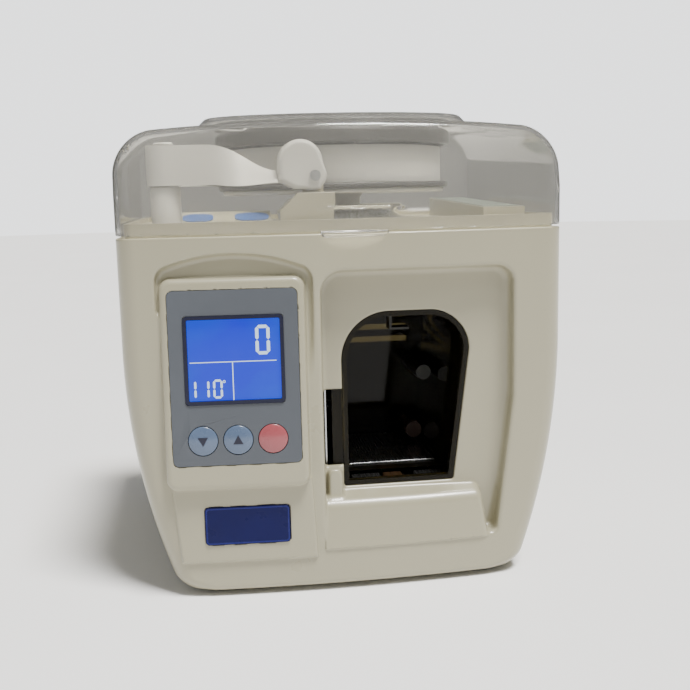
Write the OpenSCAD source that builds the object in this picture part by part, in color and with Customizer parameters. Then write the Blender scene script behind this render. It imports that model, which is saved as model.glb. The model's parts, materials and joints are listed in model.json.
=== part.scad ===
// Banknote strapping machine. Millimetres, +Z up, front towards -Y.
// Every module draws in the case's own frame: Y 0 is the middle of the front face, Z 0 is the
// underside of the case, X 0 is the middle. place() moves that frame so that the origin is under
// the middle of the whole object, on the surface that the feet stand on.

/* [Case] */
// Width across the straight upper sides
case_w = 235; // [225:1:250]
// Depth from the middle of the front face to the back
case_d = 200; // [196:1:220]
// Height of the case walls above the underside
case_h = 187.3; // [186:0.1:192]
// Thickness of the case walls
wall = 3; // [2:0.5:3.5]
// Radius of the sides where they curve in below
side_r = 362; // [340:1:420]
// Height at which the sides begin to curve in
side_z = 130; // [120:1:140]
// Radius of the gently bowed front, seen from above
bow_r = 900; // [700:10:1500]
// Radius of the upright edges
edge_r = 10; // [6:1:14]
// Radius of the two lower corners, seen from the front
heel_r = 9; // [6:1:12]
// Depth at which the front shell meets the rear shell
seam_y = 30; // [26:1:34]

/* [Feet and base] */
// Diameter of a foot
foot_d = 14; // [10:1:18]
// Height of the feet below the case
foot_h = 3; // [2:0.5:6]
// Distance of the feet from the case's sides
foot_in = 49.5; // [47.5:0.5:57.5]
// Distance of the feet from the front and from the back
foot_y = 26; // [24:1:40]
// Thickness of the steel base plate
base_t = 2; // [1.5:0.5:3]

/* [Console] */
// Middle of the tilted console, left of the middle of the case
console_x = -60.8; // [-62:0.1:-58]
// Height of the console's lower edge
console_z = 58; // [56:1:60]
// Width of the console
console_w = 74; // [72:1:76]
// Distance of the console's upper edge below the top of the case
console_top = 20.3; // [18:0.1:24]
// Distance that its lower edge stands out of the front
console_out = 5; // [4:0.5:6]
// Backward tilt of the console
console_tilt = 3.5; // [2:0.5:5]
// Turn of the console that follows the bowed front
console_yaw = 3.8; // [3:0.1:4.5]
// Thickness of the console's face
console_skin = 5; // [4:0.5:6]
// Rise of the scoop's arch above the console
scoop_rise = 12; // [10:1:14]
// Depth of the scoop
scoop_depth = 5; // [4:0.5:6]

/* [Overlay, display and buttons] */
// Width of the grey overlay
overlay_w = 66; // [62:1:68]
// Distance of the overlay's upper edge below the console's
overlay_top = 6; // [4:0.5:8]
// Height of the overlay's lower edge on the console
overlay_v = 13; // [11:1:15]
// Thickness of the overlay
overlay_t = 1; // [0.6:0.1:1.4]
// Width of the dark display frame
display_w = 51; // [48:1:54]
// Distance of the display frame's upper edge below the console's
display_top = 19; // [16:0.5:22]
// Distance from the buttons up to the display frame
display_gap = 11; // [8:0.5:13]
// Width of the rim of the display frame
display_rim = 2; // [1.5:0.5:3]
// Diameter of a button
button_d = 15; // [13:0.5:16]
// Distance from one button to the next
button_pitch = 17.9; // [17.5:0.1:19]
// Height of the buttons on the console
button_v = 26; // [24:0.5:27]
// Travel of a button
button_travel = 1.2; // [0.8:0.1:1.4]
// Distance that a button stands out of the overlay
button_out = 1.6; // [1.5:0.1:2.2]

/* [Lower plate and name plate] */
// Middle of the raised lower plate
lower_x = -58.8; // [-60:0.1:-58]
// Width of the raised lower plate
lower_w = 73; // [70:1:74]
// Height of its lower edge
lower_z = 17; // [15:1:20]
// Distance that it stands out of the front
lower_out = 1.8; // [1:0.1:2.5]
// Width of the name plate
badge_w = 44.5; // [40:0.5:50]
// Height of the name plate
badge_h = 20.5; // [16:0.5:24]
// Middle of the name plate, across
badge_x = -57; // [-60:0.5:-55]
// Middle of the name plate, height
badge_z = 37; // [34:0.5:40]
// Thickness of the name plate
badge_t = 1.4; // [1:0.1:2]

/* [Recess] */
// Left edge of the recess
recess_x1 = -15.1; // [-16:0.1:-14]
// Right edge of the recess at its top
recess_x2 = 88.4; // [84:0.1:92]
// Right edge of the recess at its bottom
recess_x3 = 79; // [77:0.5:82]
// Bottom of the recess
recess_z1 = 22; // [20:1:24]
// Distance of the recess's top below the top of the case
recess_top = 19.3; // [17.3:0.5:25.3]
// Depth of the recess floor behind the front
recess_y = 14; // [12:0.5:15]
// Radius of its upper corners
recess_r = 10; // [6:1:14]
// Right end of the ledge under the note mouth
ledge_x = 72; // [68:1:74]
// Height of the ledge's upper front edge
ledge_z = 45; // [43:0.5:46]
// Fall of the ledge's top from the note mouth to that edge
ledge_fall = 3.5; // [2:0.5:5]

/* [Note mouth] */
// Left edge of the note mouth
mouth_x1 = -3.5; // [-4:0.1:-3]
// Right edge of the note mouth at its bottom
mouth_x2 = 57.4; // [54:0.1:60]
// Right edge of the note mouth at its widest
mouth_x3 = 66.6; // [62:0.1:70]
// Bottom of the note mouth
mouth_z1 = 50; // [49:0.5:52]
// Distance of the note mouth's top below the recess's
mouth_top = 23; // [20:0.5:28]
// Radius of its upper left corner
mouth_r1 = 26; // [20:1:28]
// Radius of its upper right corner
mouth_r2 = 22; // [18:1:26]
// Wall of the smoked guides
guide_t = 2.6; // [2:0.1:3]
// Middle of the strap's track, behind the front
track_y = 30; // [29:0.5:31]
// Width of the strap's track
track_w = 22; // [20.5:0.5:23]
// Depth of the strap's track behind the mouth's edge
track_d = 4; // [3:0.5:5]
// Depth at which the note chamber ends
chamber_y = 115; // [95:1:118]
// Lower end of the side notch
notch_z1 = 62; // [60:1:64]
// Upper end of the side notch
notch_z2 = 104; // [96:1:108]

/* [Cover] */
// Gap between the case and the cover's lower edge
cover_gap = 1.2; // [1.1:0.1:5]
// Height of the cover's straight front, below the part that leans back
cover_rise = 22.5; // [17.5:0.5:27.5]
// Height of the cover's front
cover_h = 54.8; // [54.5:0.1:59.5]
// Distance that the upper front edge lies back
cover_lean = 7; // [4:0.5:7.5]
// Rise of the cover's top towards the back, in degrees
cover_slope = 2.6; // [2:0.1:3.5]
// Thickness of the cover
cover_t = 2.6; // [2:0.1:3]
// Radius of the crowned top, seen from the front
crown_r = 1300; // [900:50:2500]
// Radius of the cover's upper side corners
cover_r = 21; // [16:1:24]
// Radius of the round dome at its top
dome_r = 75; // [74:0.5:77]
// Height of the round dome
dome_h = 5.2; // [4:0.1:7]
// Width of the finger tab
tab_w = 41; // [30:1:48]
// Distance that the finger tab stands out
tab_out = 4.6; // [3:0.1:4.8]
// Middle of the finger tab
tab_x = 3; // [-10:1:10]
// Distance of a hinge from the middle
hinge_x = 80; // [60:1:86]
// Diameter of a hinge barrel
hinge_d = 7; // [6.4:0.2:7]
// Diameter of a hinge pin
pin_d = 2.5; // [2:0.1:3]

/* [Strap supply] */
// Middle of the reel, across
reel_x = 5.5; // [4:0.5:7]
// Middle of the reel, behind the front
reel_y = 98; // [97:0.5:100]
// Width of the paper strap
strap_w = 20; // [18:0.5:21]
// Thickness drawn for the strap
strap_t = 0.2; // [0.15:0.05:0.3]
// Radius of the roll of strap
roll_r = 64.2; // [40:0.1:66]
// Radius of the lower flange
flange_r = 68.5; // [66.5:0.5:69.5]
// Radius of the cap on the roll
cap_r = 69.7; // [66.5:0.1:70]
// Height of the cap's side
cap_h = 8.6; // [7:0.1:9]
// Diameter of the spindle
spindle_d = 12; // [10:0.5:14]
// Height of the tray's top above the deck
tray_h = 18.5; // [17:0.5:19.5]
// Radius of the white tray
tray_r = 66; // [50:1:66]
// Middle of the guide roller, across
roller_x = -91.5; // [-94:0.5:-88]
// Middle of the guide roller, behind the front
roller_y = 25; // [23:0.5:27]
// Diameter of the guide roller
roller_d = 17.6; // [15:0.1:18]
// Diameter of the post under it
post_d = 15.5; // [12:0.5:17]

/* [Guide lever] */
// Pivot of the lever, across
lever_x = -15.5; // [-17:0.5:-14]
// Height of the lever's pivot above the deck
lever_h = 25.2; // [24.5:0.1:26.5]
// Front of the lever
lever_y = 10; // [9.5:0.5:11]
// Thickness of the lever
lever_t = 14.5; // [12:0.5:15]
// Diameter of the pivot screw
lever_pin_d = 3; // [2.5:0.1:3.5]

/* [Feed] */
// Where the strap runs down, across
strap_x = -13.5; // [-14:0.1:-13]
// Distance of the feed rollers' axles below the top of the case
feed_drop = 27.3; // [23.5:0.1:29.5]
// Diameter of the feed roller
feed_d = 20; // [16:0.5:20]
// Diameter of the pinch roller
pinch_d = 13; // [11:0.5:13]
// Diameter of the feed motor
feed_motor_d = 26; // [22:1:28]

/* [Press] */
// Height of the cam shaft
cam_z = 20.5; // [20:0.5:22]
// Diameter of the cam shaft
cam_shaft_d = 6; // [5:0.5:8]
// Distance from the shaft to a cam's nose
cam_nose = 10; // [8:0.5:10]
// Pitch of the gears: millimetres of diameter for each tooth
gear_m = 1; // [1:0.1:1.1]
// Teeth of the cam shaft's gear
cam_teeth = 28; // [24:2:28]
// Teeth of the drive motor's pinion
pinion_teeth = 10; // [10:2:12]
// Diameter of the drive motor
drive_motor_d = 28; // [24:1:28]
// Width of a press head
head_w = 16; // [12:1:17]
// Distance from one press head to the next
head_pitch = 18; // [18:0.5:19]
// Travel of the press heads
head_travel = 3.5; // [2:0.5:3.5]
// Travel of the note clamp
clamp_travel = 25; // [10:1:30]

/* [Rear fittings] */
// Middle of the mains inlet, across
inlet_x = 58; // [54:1:62]
// Width of the mains inlet's flange
inlet_w = 50; // [46:1:52]
// Middle of the power switch, across
switch_x = 14; // [10:1:16]
// Middle of the fuse holder, across
fuse_x = -12; // [-16:1:-10]
// Height of the rear fittings
rear_z = 34; // [30:1:38]

/* [Hidden] */
$fn = 96;
eps = 0.01;
play = 0.3;          // clearance between pieces that move past each other
run = 0.06;          // radial clearance of a running fit
half_w = case_w / 2;
deck_t = 3;
deck_z = case_h + 4.2;                  // top of the deck's floor
upstand_z = deck_z + 3;
upstand_in = wall + 1.4;
upstand_t = 2.5;
foot_x = half_w - foot_in;
console_h = case_h - console_z - console_top;
overlay_h = console_h - overlay_v - overlay_top;
display_v = button_v + button_d / 2 + display_gap;
display_h = console_h - display_top - display_v;
recess_z2 = case_h - recess_top;
mouth_z2 = recess_z2 - mouth_top;
cover_z = case_h + cover_gap;
cover_break = cover_z + cover_rise;
cover_top = cover_z + cover_h;
tray_z = deck_z + tray_h;
lever_z = deck_z + lever_h;
feed_z = case_h - feed_drop;
hinge_r = hinge_d / 2;
hinge_y = case_d - hinge_r;
hinge_z = cover_z + hinge_r;
knuckle_w = 16;
lug_w = 5;
floor_z = wall + base_t;                // top of the base plate
inlet_t = 2;                            // thickness of the inlet's flange
rocker_y = case_d - 5;                  // axle of the power switch's rocker
rocker_w = 10;
rocker_turn = 16;                       // turn of the rocker from off to on, in degrees
console_r = 5;                          // radius of the console's corners
console_lean = sin(console_tilt) * cos(console_yaw);
front_reach = console_out + (console_w / 2 - console_r) * sin(console_yaw)
    - console_r * console_lean + console_r * norm([sin(console_yaw), console_lean]);
place_y = (front_reach - case_d - inlet_t) / 2;
overlay_u = 0;
button_u = 0.5;
board_n = -console_skin - 7;            // front of the control board, along the console's normal
board_t = 1.6;
badge_seat = 0.8;
track_y1 = track_y - track_w / 2;
track_y2 = track_y + track_w / 2;
arch_t = 1.5;
recess_skin = 3;
roll_z = tray_z + 0.2 + deck_t;         // underside of the roll
hub_r = 14;
cap_z = roll_z + strap_w + 1.2;         // underside of the cap
post_z = roll_z - play;
roller_h = strap_w;
head_y = track_y;
head_d = 18;
head_x = (mouth_x1 + mouth_x2) / 2 + 3;
head_z = cam_z + cam_nose + play;       // underside of the press heads
head_top = mouth_z1 - 1;
gear_w = 5;
gear_x = head_x - head_pitch - 34 - 34 / 2;
frame_x1 = gear_x + gear_w + 6;
frame_x2 = head_x + head_pitch + 17;
frame_t = 2;
cam_w = 7;
bracket_top = lever_z - 8.5;            // top of the lever's bracket
slit_x = strap_x - 12.5;                // where the strap goes through the deck
turn_x = -66;                           // where the strap begins to narrow
gear_gap = 0.25;
drive_y = head_y + gear_m * (cam_teeth + pinion_teeth) / 2 + gear_gap;
feed_x = strap_x - strap_t / 2 - feed_d / 2 - 0.05;
pinch_x = strap_x + strap_t / 2 + pinch_d / 2 + 0.05;
feed_y1 = track_y - strap_w / 2;
feed_y2 = track_y + strap_w / 2;
feed_span = pinch_x - feed_x;
feed_gear_m = (feed_span - gear_gap) / 15;   // the two gears have 18 and 12 teeth
feed_plate_y = feed_y2 + 4;
clamp_y = 75;                           // rod of the clamp plate
clamp_z = mouth_z1 + 32;
clamp_y2 = 100;                         // rear edge, lower edge and height of the clamp plate
clamp_low = 9;
clamp_h = 47;
clamp_reach = 34;                       // distance of its bracket from the chamber
rod_d = 6;
hump_x = half_w - 35.5;                 // left side of the deck's low hump
hump_w = 24;
hump_y1 = 40;
hump_y2 = case_d - 30;
hump_h1 = 6.5;                          // height of the hump at its front and at its rear
hump_h2 = 11.5;
label_t = 0.4;
label_edge = 2;                         // distance of the hump's label from its sides
ramp_x1 = -86;                          // the deck's low ramp behind the guide post
ramp_x2 = -36;
ramp_y1 = 36;
ramp_y2 = 58;
ramp_h1 = 1.5;                          // height of the ramp at its front and at its rear
ramp_h2 = 7.5;
labels = [[-84, 16.5], [-56, 18.5]];    // left end and width of the ramp's labels
label_d = 14;
vent_half = 70;
vent_count = 7;
vent_slot = 4;
vent_pitch = 9;
vent_z = case_h - 87.3;
vent_y1 = case_d - 70;                  // front and rear end of the base plate's slots
vent_y2 = case_d - 30;
screw_x = half_w - 17.5;
screw_z = case_h - 37.3;
board_x = -10;                          // left end, width and depth of the power board
board_w = 86;
board_d = 42;
board_y = case_d - board_d - 33;
bulk_x = -78;                           // left end and width of the transformer's core
bulk_w = 50;
bulk_d = 40;
bulk_h = 34;

cream = [0.88, 0.86, 0.79];
white = [0.93, 0.93, 0.91];
dark = [0.25, 0.25, 0.24];
steel = [0.72, 0.73, 0.75];
smoke = [0.28, 0.22, 0.12, 0.6];
clear = [0.8, 0.8, 0.76, 0.35];
copper = [0.7, 0.45, 0.25];
black = [0.1, 0.1, 0.11];
green = [0.1, 0.35, 0.2];

// ---------------------------------------------------------------- shared shapes

module place() {
    translate([0, place_y, foot_h]) children();
}

// Turns a drawing in X and Z into a plate between two depths.
module upright(y1, y2) {
    translate([0, y2, 0]) rotate([90, 0, 0]) linear_extrude(height = y2 - y1) children();
}

// A cylinder along Y or along X, from a starting point.
module rod_y(p, d, length) {
    translate(p) rotate([-90, 0, 0]) cylinder(d = d, h = length);
}

module rod_x(p, d, length) {
    translate(p) rotate([0, 90, 0]) cylinder(d = d, h = length);
}

module block(p1, p2) {
    translate(p1) cube([p2[0] - p1[0], p2[1] - p1[1], p2[2] - p1[2]]);
}

// A rectangle from its lower left corner, with round corners.
module round_rect(w, h, r) {
    translate([r, 0]) square([w - 2 * r, h]);
    translate([0, r]) square([w, h - 2 * r]);
    for (x = [r, w - r], y = [r, h - r]) translate([x, y]) circle(r = r);
}

// Points on an arc, from one angle to another.
function arc(c, r, a1, a2, n) =
    [for (i = [0 : n]) let(a = a1 + (a2 - a1) * i / n) [c[0] + r * cos(a), c[1] + r * sin(a)]];

function mirrored(points) = [for (i = [len(points) - 1 : -1 : 0]) [-points[i][0], points[i][1]]];

// Depth of the bowed front at a distance from the middle.
function bow_y(x) = bow_r - sqrt(bow_r * bow_r - x * x);

// The case seen from the front, smaller by inset: flat bottom, round heels, sides that curve in.
module front_outline(inset) {
    side_c = [half_w - side_r, side_z];
    heel_c = [side_c[0] + sqrt(pow(side_r - heel_r, 2) - pow(side_z - heel_r, 2)), heel_r];
    meet = atan2(heel_c[1] - side_c[1], heel_c[0] - side_c[0]);
    right = concat(
        arc(heel_c, heel_r - inset, -90, meet, 6), arc(side_c, side_r - inset, meet, 0, 10),
        [[half_w - inset, 400]]
    );
    polygon(concat(right, mirrored(right)));
}

// The case seen from above, smaller by inset.
module plan_outline(inset) {
    corner_x = half_w - edge_r;
    corner_y = bow_r - sqrt(pow(bow_r - edge_r, 2) - corner_x * corner_x);
    half_bow = asin(corner_x / (bow_r - edge_r));
    right = concat(
        arc([0, bow_r], bow_r - inset, 270, 270 + half_bow, 8),
        arc([corner_x, corner_y], edge_r - inset, 270 + half_bow, 360, 6),
        arc([corner_x, case_d - edge_r], edge_r - inset, 0, 90, 6)
    );
    polygon(concat(right, mirrored(right)));
}

// The solid inside the case's outer faces, smaller by inset, up to a height.
module case_solid(inset, top) {
    intersection() {
        upright(-eps, case_d + eps) front_outline(inset);
        linear_extrude(height = top) plan_outline(inset);
    }
}

// The wall of the case between two depths, open at the top, with the base plate's opening.
module case_wall(y1, y2) {
    intersection() {
        difference() {
            case_solid(0, case_h);
            case_solid(wall, case_h + 1);
            translate([-foot_x - foot_d, foot_y - foot_d, -1])
                cube([2 * (foot_x + foot_d), case_d - 2 * (foot_y - foot_d), wall + 2]);
        }
        block([-half_w - 1, y1, -1], [half_w + 1, y2, case_h + 1]);
    }
}

// A spur gear with straight-sided teeth, lying in the XY plane.
module gear(teeth, pitch, width) {
    root = pitch * teeth / 2 - 1.2 * pitch;
    tip = pitch * teeth / 2 + 0.75 * pitch;
    cylinder(r = root, h = width);
    for (i = [0 : teeth - 1]) rotate([0, 0, i * 360 / teeth])
        linear_extrude(height = width) polygon([
            [root - 0.5, -0.75 * pitch], [tip, -0.32 * pitch],
            [tip, 0.32 * pitch], [root - 0.5, 0.75 * pitch]
        ]);
}

// ---------------------------------------------------------------- front

// The console's own frame: X across, Y up along its face, Z out of it.
module on_console() {
    translate([console_x, -console_out, console_z])
        rotate([0, 0, -console_yaw]) rotate([90 - console_tilt, 0, 0]) children();
}

module console_block(n1, n2, margin) {
    on_console() translate([-console_w / 2 + margin, margin, n1]) linear_extrude(height = n2 - n1)
        round_rect(console_w - 2 * margin, console_h - 2 * margin, console_r - margin / 2);
}

// The space above the console, under its arch, from one depth to another.
module scoop(n1, n2, grow) {
    arch_r = 98;
    on_console() intersection() {
        translate([0, console_h + scoop_rise - arch_r, n1])
            cylinder(r = arch_r + grow, h = n2 - n1, $fn = 180);
        translate([-console_w / 2 - 1.5 - grow, console_h - 20, n1])
            cube([console_w + 3 + 2 * grow, 60, n2 - n1]);
    }
}

module recess_outline() {
    r = recess_r;
    polygon([
        [recess_x1, recess_z1], [recess_x3, recess_z1], [recess_x2, 98],
        [recess_x2, recess_z2 - r], [recess_x2 - r, recess_z2],
        [recess_x1 + r, recess_z2], [recess_x1, recess_z2 - r]
    ]);
    for (x = [recess_x1 + r, recess_x2 - r]) translate([x, recess_z2 - r]) circle(r = r);
}

module mouth_outline(grow) {
    c1 = [mouth_x1 + mouth_r1, mouth_z2 - mouth_r1];
    c2 = [mouth_x3 - mouth_r2, mouth_z2 - mouth_r2];
    polygon([
        [mouth_x1 - grow, mouth_z1 - grow], [mouth_x2 + grow, mouth_z1 - grow],
        [mouth_x3 + grow, c2[1]], [c2[0], mouth_z2 + grow], [c1[0], mouth_z2 + grow],
        [mouth_x1 - grow, c1[1]]
    ]);
    translate(c1) circle(r = mouth_r1 + grow);
    translate(c2) circle(r = mouth_r2 + grow);
}

// Block under the note mouth: its top falls forwards and its front leans back.
module ledge() {
    front = 3;
    intersection() {
        translate([recess_x1 - 1, 0, 0]) rotate([90, 0, 90])
            linear_extrude(height = ledge_x - recess_x1 + 1) polygon([
                [recess_y + 1, recess_z1 - 1], [0, recess_z1 - 1], [0, recess_z1],
                [front, ledge_z - 1], [front + 1, ledge_z],
                [recess_y, ledge_z + ledge_fall], [recess_y + 1, ledge_z + ledge_fall]
            ]);
        case_solid(0, case_h);
    }
}

module front_shell() {
    nub_r = 4;
    nub_x = recess_x1 + 6.1;
    color(cream) place() difference() {
        union() {
            difference() {
                union() {
                    case_wall(-1, seam_y);
                    // backings of the recess and of the scoop
                    intersection() {
                        upright(0.5, recess_y + recess_skin)
                            translate([recess_x1 - 2.5, recess_z1 - 2.5])
                            square([recess_x2 - recess_x1 + 5, recess_z2 - recess_z1 + 5]);
                        case_solid(0, case_h);
                    }
                    intersection() {
                        scoop(-scoop_depth - 2.5, 8, 2.5);
                        case_solid(0, case_h);
                    }
                }
                upright(-1, recess_y) recess_outline();
                scoop(-scoop_depth, 30, 0);
            }
            // tilted console and the raised lower plate
            console_block(-console_skin - 4, 0, 0);
            intersection() {
                upright(-lower_out - 1, 6) translate([lower_x - lower_w / 2, lower_z])
                    round_rect(lower_w, console_z - lower_z + 3, 4);
                translate([0, -lower_out, 0]) case_solid(0, case_h);
            }
            ledge();
            // nub under the side notch
            upright(7, recess_y + 1) translate([nub_x, notch_z1 - nub_r]) circle(r = nub_r);
            block([nub_x - nub_r, 7, ledge_z - 2], [nub_x + nub_r, recess_y + 1, notch_z1 - nub_r]);
        }
        // hollow behind the console
        on_console() translate([-console_w / 2 + 2.5, 3, -40])
            cube([console_w - 5, console_h - 6, 40 - console_skin]);
        // seats and holes in the console
        on_console() overlay_shape(-overlay_t, 1, 0);
        on_console() translate([-display_w / 2 + 1, display_v + 1, -20])
            cube([display_w - 2, display_h - 2, 30]);
        for (i = [-1 : 1]) on_console() translate([button_u + i * button_pitch, button_v, -20])
            cylinder(d = button_d + 2 * play, h = 30);
        badge_shape(-badge_seat, 3, 0);
        // note mouth and side notch
        upright(5, 40) mouth_outline(0);
        block([recess_x1 + 1, 5, notch_z1], [mouth_x1 + 1, 40, notch_z2]);
    }
}

// The name plate's own frame lies on the bowed lower plate.
module badge_shape(n1, n2, margin) {
    translate([badge_x, bow_y(badge_x) - lower_out, badge_z])
        rotate([0, 0, asin(badge_x / bow_r)]) rotate([90, 0, 0])
        translate([-badge_w / 2 + margin, -badge_h / 2 + margin, n1])
        linear_extrude(height = n2 - n1)
        round_rect(badge_w - 2 * margin, badge_h - 2 * margin, 2);
}

module overlay_shape(n1, n2, margin) {
    translate([overlay_u - overlay_w / 2 + margin, overlay_v + margin, n1])
        linear_extrude(height = n2 - n1)
        round_rect(overlay_w - 2 * margin, overlay_h - 2 * margin, 3);
}

module control_overlay() {
    color([0.5, 0.52, 0.56]) place() on_console() difference() {
        overlay_shape(-overlay_t, 0.2, 0.1);
        translate([-display_w / 2, display_v, -5]) cube([display_w, display_h, 10]);
        for (i = [-1 : 1]) translate([button_u + i * button_pitch, button_v, -5])
            cylinder(d = button_d + 2 * play, h = 10);
    }
}

module display_frame() {
    color(black) place() on_console() difference() {
        translate([-display_w / 2 + 0.1, display_v + 0.1, -overlay_t]) linear_extrude(height = 1.8)
            round_rect(display_w - 0.2, display_h - 0.2, 1.5);
        translate([-display_w / 2 + display_rim, display_v + display_rim, -5])
            cube([display_w - 2 * display_rim, display_h - 2 * display_rim, 10]);
    }
}

module display_module() {
    color([0.05, 0.3, 0.95]) place() on_console()
        translate([-display_w / 2 + 1.2, display_v + 1.2, board_n])
        cube([display_w - 2.4, display_h - 2.4, -board_n - overlay_t]);
}

module button(i, tint) {
    collar_n = -console_skin - 1.3;
    color(tint) place() on_console() translate([button_u + i * button_pitch, button_v, 0]) {
        intersection() {
            translate([0, 0, collar_n]) cylinder(d = button_d, h = button_out - collar_n);
            translate([0, 0, button_out - 24]) sphere(r = 24, $fn = 128);
        }
        translate([0, 0, collar_n - 0.8]) cylinder(d = button_d + 2, h = 1);
    }
}

module button_down() {
    button(-1, [0.45, 0.52, 0.62]);
}

module button_up() {
    button(0, [0.45, 0.52, 0.62]);
}

module button_clear() {
    button(1, [0.75, 0.4, 0.42]);
}

module control_board() {
    color(green) place() on_console() {
        translate([-console_w / 2 + 4, 6, board_n - board_t])
            cube([console_w - 8, console_h - 12, board_t]);
        for (i = [-1 : 1]) translate([button_u + i * button_pitch, button_v, board_n]) {
            translate([-3, -3, 0]) cube([6, 6, 2]);
            cylinder(d = 3, h = -board_n - console_skin - 2.1 - button_travel - 0.1);
        }
        translate([-8, console_h - 17, board_n]) cube([16, 6, 4]);
    }
}

module name_plate() {
    color([0.03, 0.03, 0.35]) place() badge_shape(-badge_seat, badge_t - badge_seat, 0.1);
}

// ---------------------------------------------------------------- case

module rear_shell() {
    color(cream) place() difference() {
        case_wall(seam_y, case_d + 1);
        for (i = [0 : vent_count - 1]) block([-vent_half, case_d - 20, vent_z + vent_pitch * i],
            [vent_half, case_d + 2, vent_z + vent_pitch * i + vent_slot]);
        rear_holes();
        for (s = [-1, 1]) rod_y([s * screw_x, case_d - 10, screw_z], 3, 12);
    }
}

module rear_holes() {
    block([inlet_x - 14.2, case_d - 20, rear_z - 10.2], [inlet_x + 14.2, case_d + 3, rear_z + 10.2]);
    block([switch_x - 9.7, case_d - 20, rear_z - 7], [switch_x + 9.7, case_d + 3, rear_z + 7]);
    rod_y([fuse_x, case_d - 20, rear_z], 12.4, 24);
}

module base_plate() {
    edge = 3;
    color(steel) place() difference() {
        block([-foot_x - foot_d - edge, foot_y - foot_d - edge, wall],
            [foot_x + foot_d + edge, case_d - foot_y + foot_d + edge, wall + base_t]);
        for (s = [-1, 1], y = [foot_y, case_d - foot_y])
            translate([s * foot_x, y, 0]) cylinder(d = 4, h = 20);
        for (i = [-4 : 4]) block([i * 9 - 1.5, vent_y1, 0], [i * 9 + 1.5, vent_y2, 10]);
    }
}

module rubber_feet() {
    color(black) place() for (s = [-1, 1], y = [foot_y, case_d - foot_y]) translate([s * foot_x, y, 0]) {
        translate([0, 0, -foot_h]) cylinder(d1 = foot_d - 2, d2 = foot_d, h = foot_h);
        cylinder(d = foot_d, h = wall);
        cylinder(d = 4, h = wall + base_t);
    }
}

module top_deck() {
    back = case_d - hinge_d - 1.6;
    color(cream) place() difference() {
        union() {
            translate([0, 0, case_h - deck_t]) linear_extrude(height = deck_t) plan_outline(wall);
            translate([0, 0, case_h - deck_t]) linear_extrude(height = upstand_z - case_h + deck_t)
                intersection() {
                    plan_outline(upstand_in);
                    translate([-half_w, 0]) square([case_w, back]);
                }
            for (s = [-1, 1], t = [-1, 1])
                translate([s * hinge_x + t * (knuckle_w / 2 + play + lug_w / 2) - lug_w / 2, 0, 0]) {
                    rod_x([0, hinge_y, hinge_z], hinge_d - 2 * play, lug_w);
                    block([0, hinge_y - hinge_r + play, case_h - deck_t],
                        [lug_w, hinge_y + 0.4, hinge_z]);
                }
        }
        // above the floor, inside the upstand
        translate([0, 0, deck_z]) linear_extrude(height = 20) intersection() {
            plan_outline(upstand_in + upstand_t);
            translate([-half_w, 0]) square([case_w, back - upstand_t]);
        }
        // hollow below the floor
        translate([0, 0, case_h - deck_t - 1]) linear_extrude(height = deck_z - case_h + 1)
            intersection() {
                plan_outline(upstand_in + upstand_t);
                translate([-half_w, 0]) square([case_w, back - upstand_t]);
            }
        for (s = [-1, 1]) rod_x([s * hinge_x - 20, hinge_y, hinge_z], pin_d, 40);
        block([slit_x - 2, lever_y, deck_z - 10], [slit_x + 2, track_y2, deck_z + 10]);
    }
    // low hump at the right
    color(cream) place() translate([hump_x, 0, 0]) rotate([90, 0, 90]) linear_extrude(height = hump_w)
        polygon([
            [hump_y1, deck_z - 1], [hump_y2, deck_z - 1],
            [hump_y2, deck_z + hump_h2], [hump_y1, deck_z + hump_h1]
        ]);
    // ramp with the two blue labels
    color(cream) place() translate([ramp_x1, 0, 0]) rotate([90, 0, 90])
        linear_extrude(height = ramp_x2 - ramp_x1) polygon([
            [ramp_y1, deck_z - 1], [ramp_y2, deck_z - 1],
            [ramp_y2, deck_z + ramp_h2], [ramp_y1, deck_z + ramp_h1]
        ]);
}

module deck_labels() {
    y1 = hump_y1 + 6;
    y2 = hump_y2 - 6;
    climb = (hump_h2 - hump_h1) / (hump_y2 - hump_y1);
    z1 = deck_z + hump_h1 + 6 * climb;
    z2 = deck_z + hump_h2 - 6 * climb;
    tip = atan2(ramp_h2 - ramp_h1, ramp_y2 - ramp_y1);
    color([0.2, 0.35, 0.6]) place() for (l = labels)
        translate([l[0], ramp_y1, deck_z + ramp_h1]) rotate([tip, 0, 0]) translate([0, 4, 0])
        linear_extrude(height = label_t) round_rect(l[1], label_d, 5.6);
    color([0.3, 0.33, 0.28]) place() translate([hump_x + label_edge, 0, 0]) rotate([90, 0, 90])
        linear_extrude(height = hump_w - 2 * label_edge)
        polygon([[y1, z1], [y2, z2], [y2, z2 + label_t], [y1, z1 + label_t]]);
}

// ---------------------------------------------------------------- cover

function cover_z_at(y) = cover_top + (y - cover_lean) * tan(cover_slope);

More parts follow.
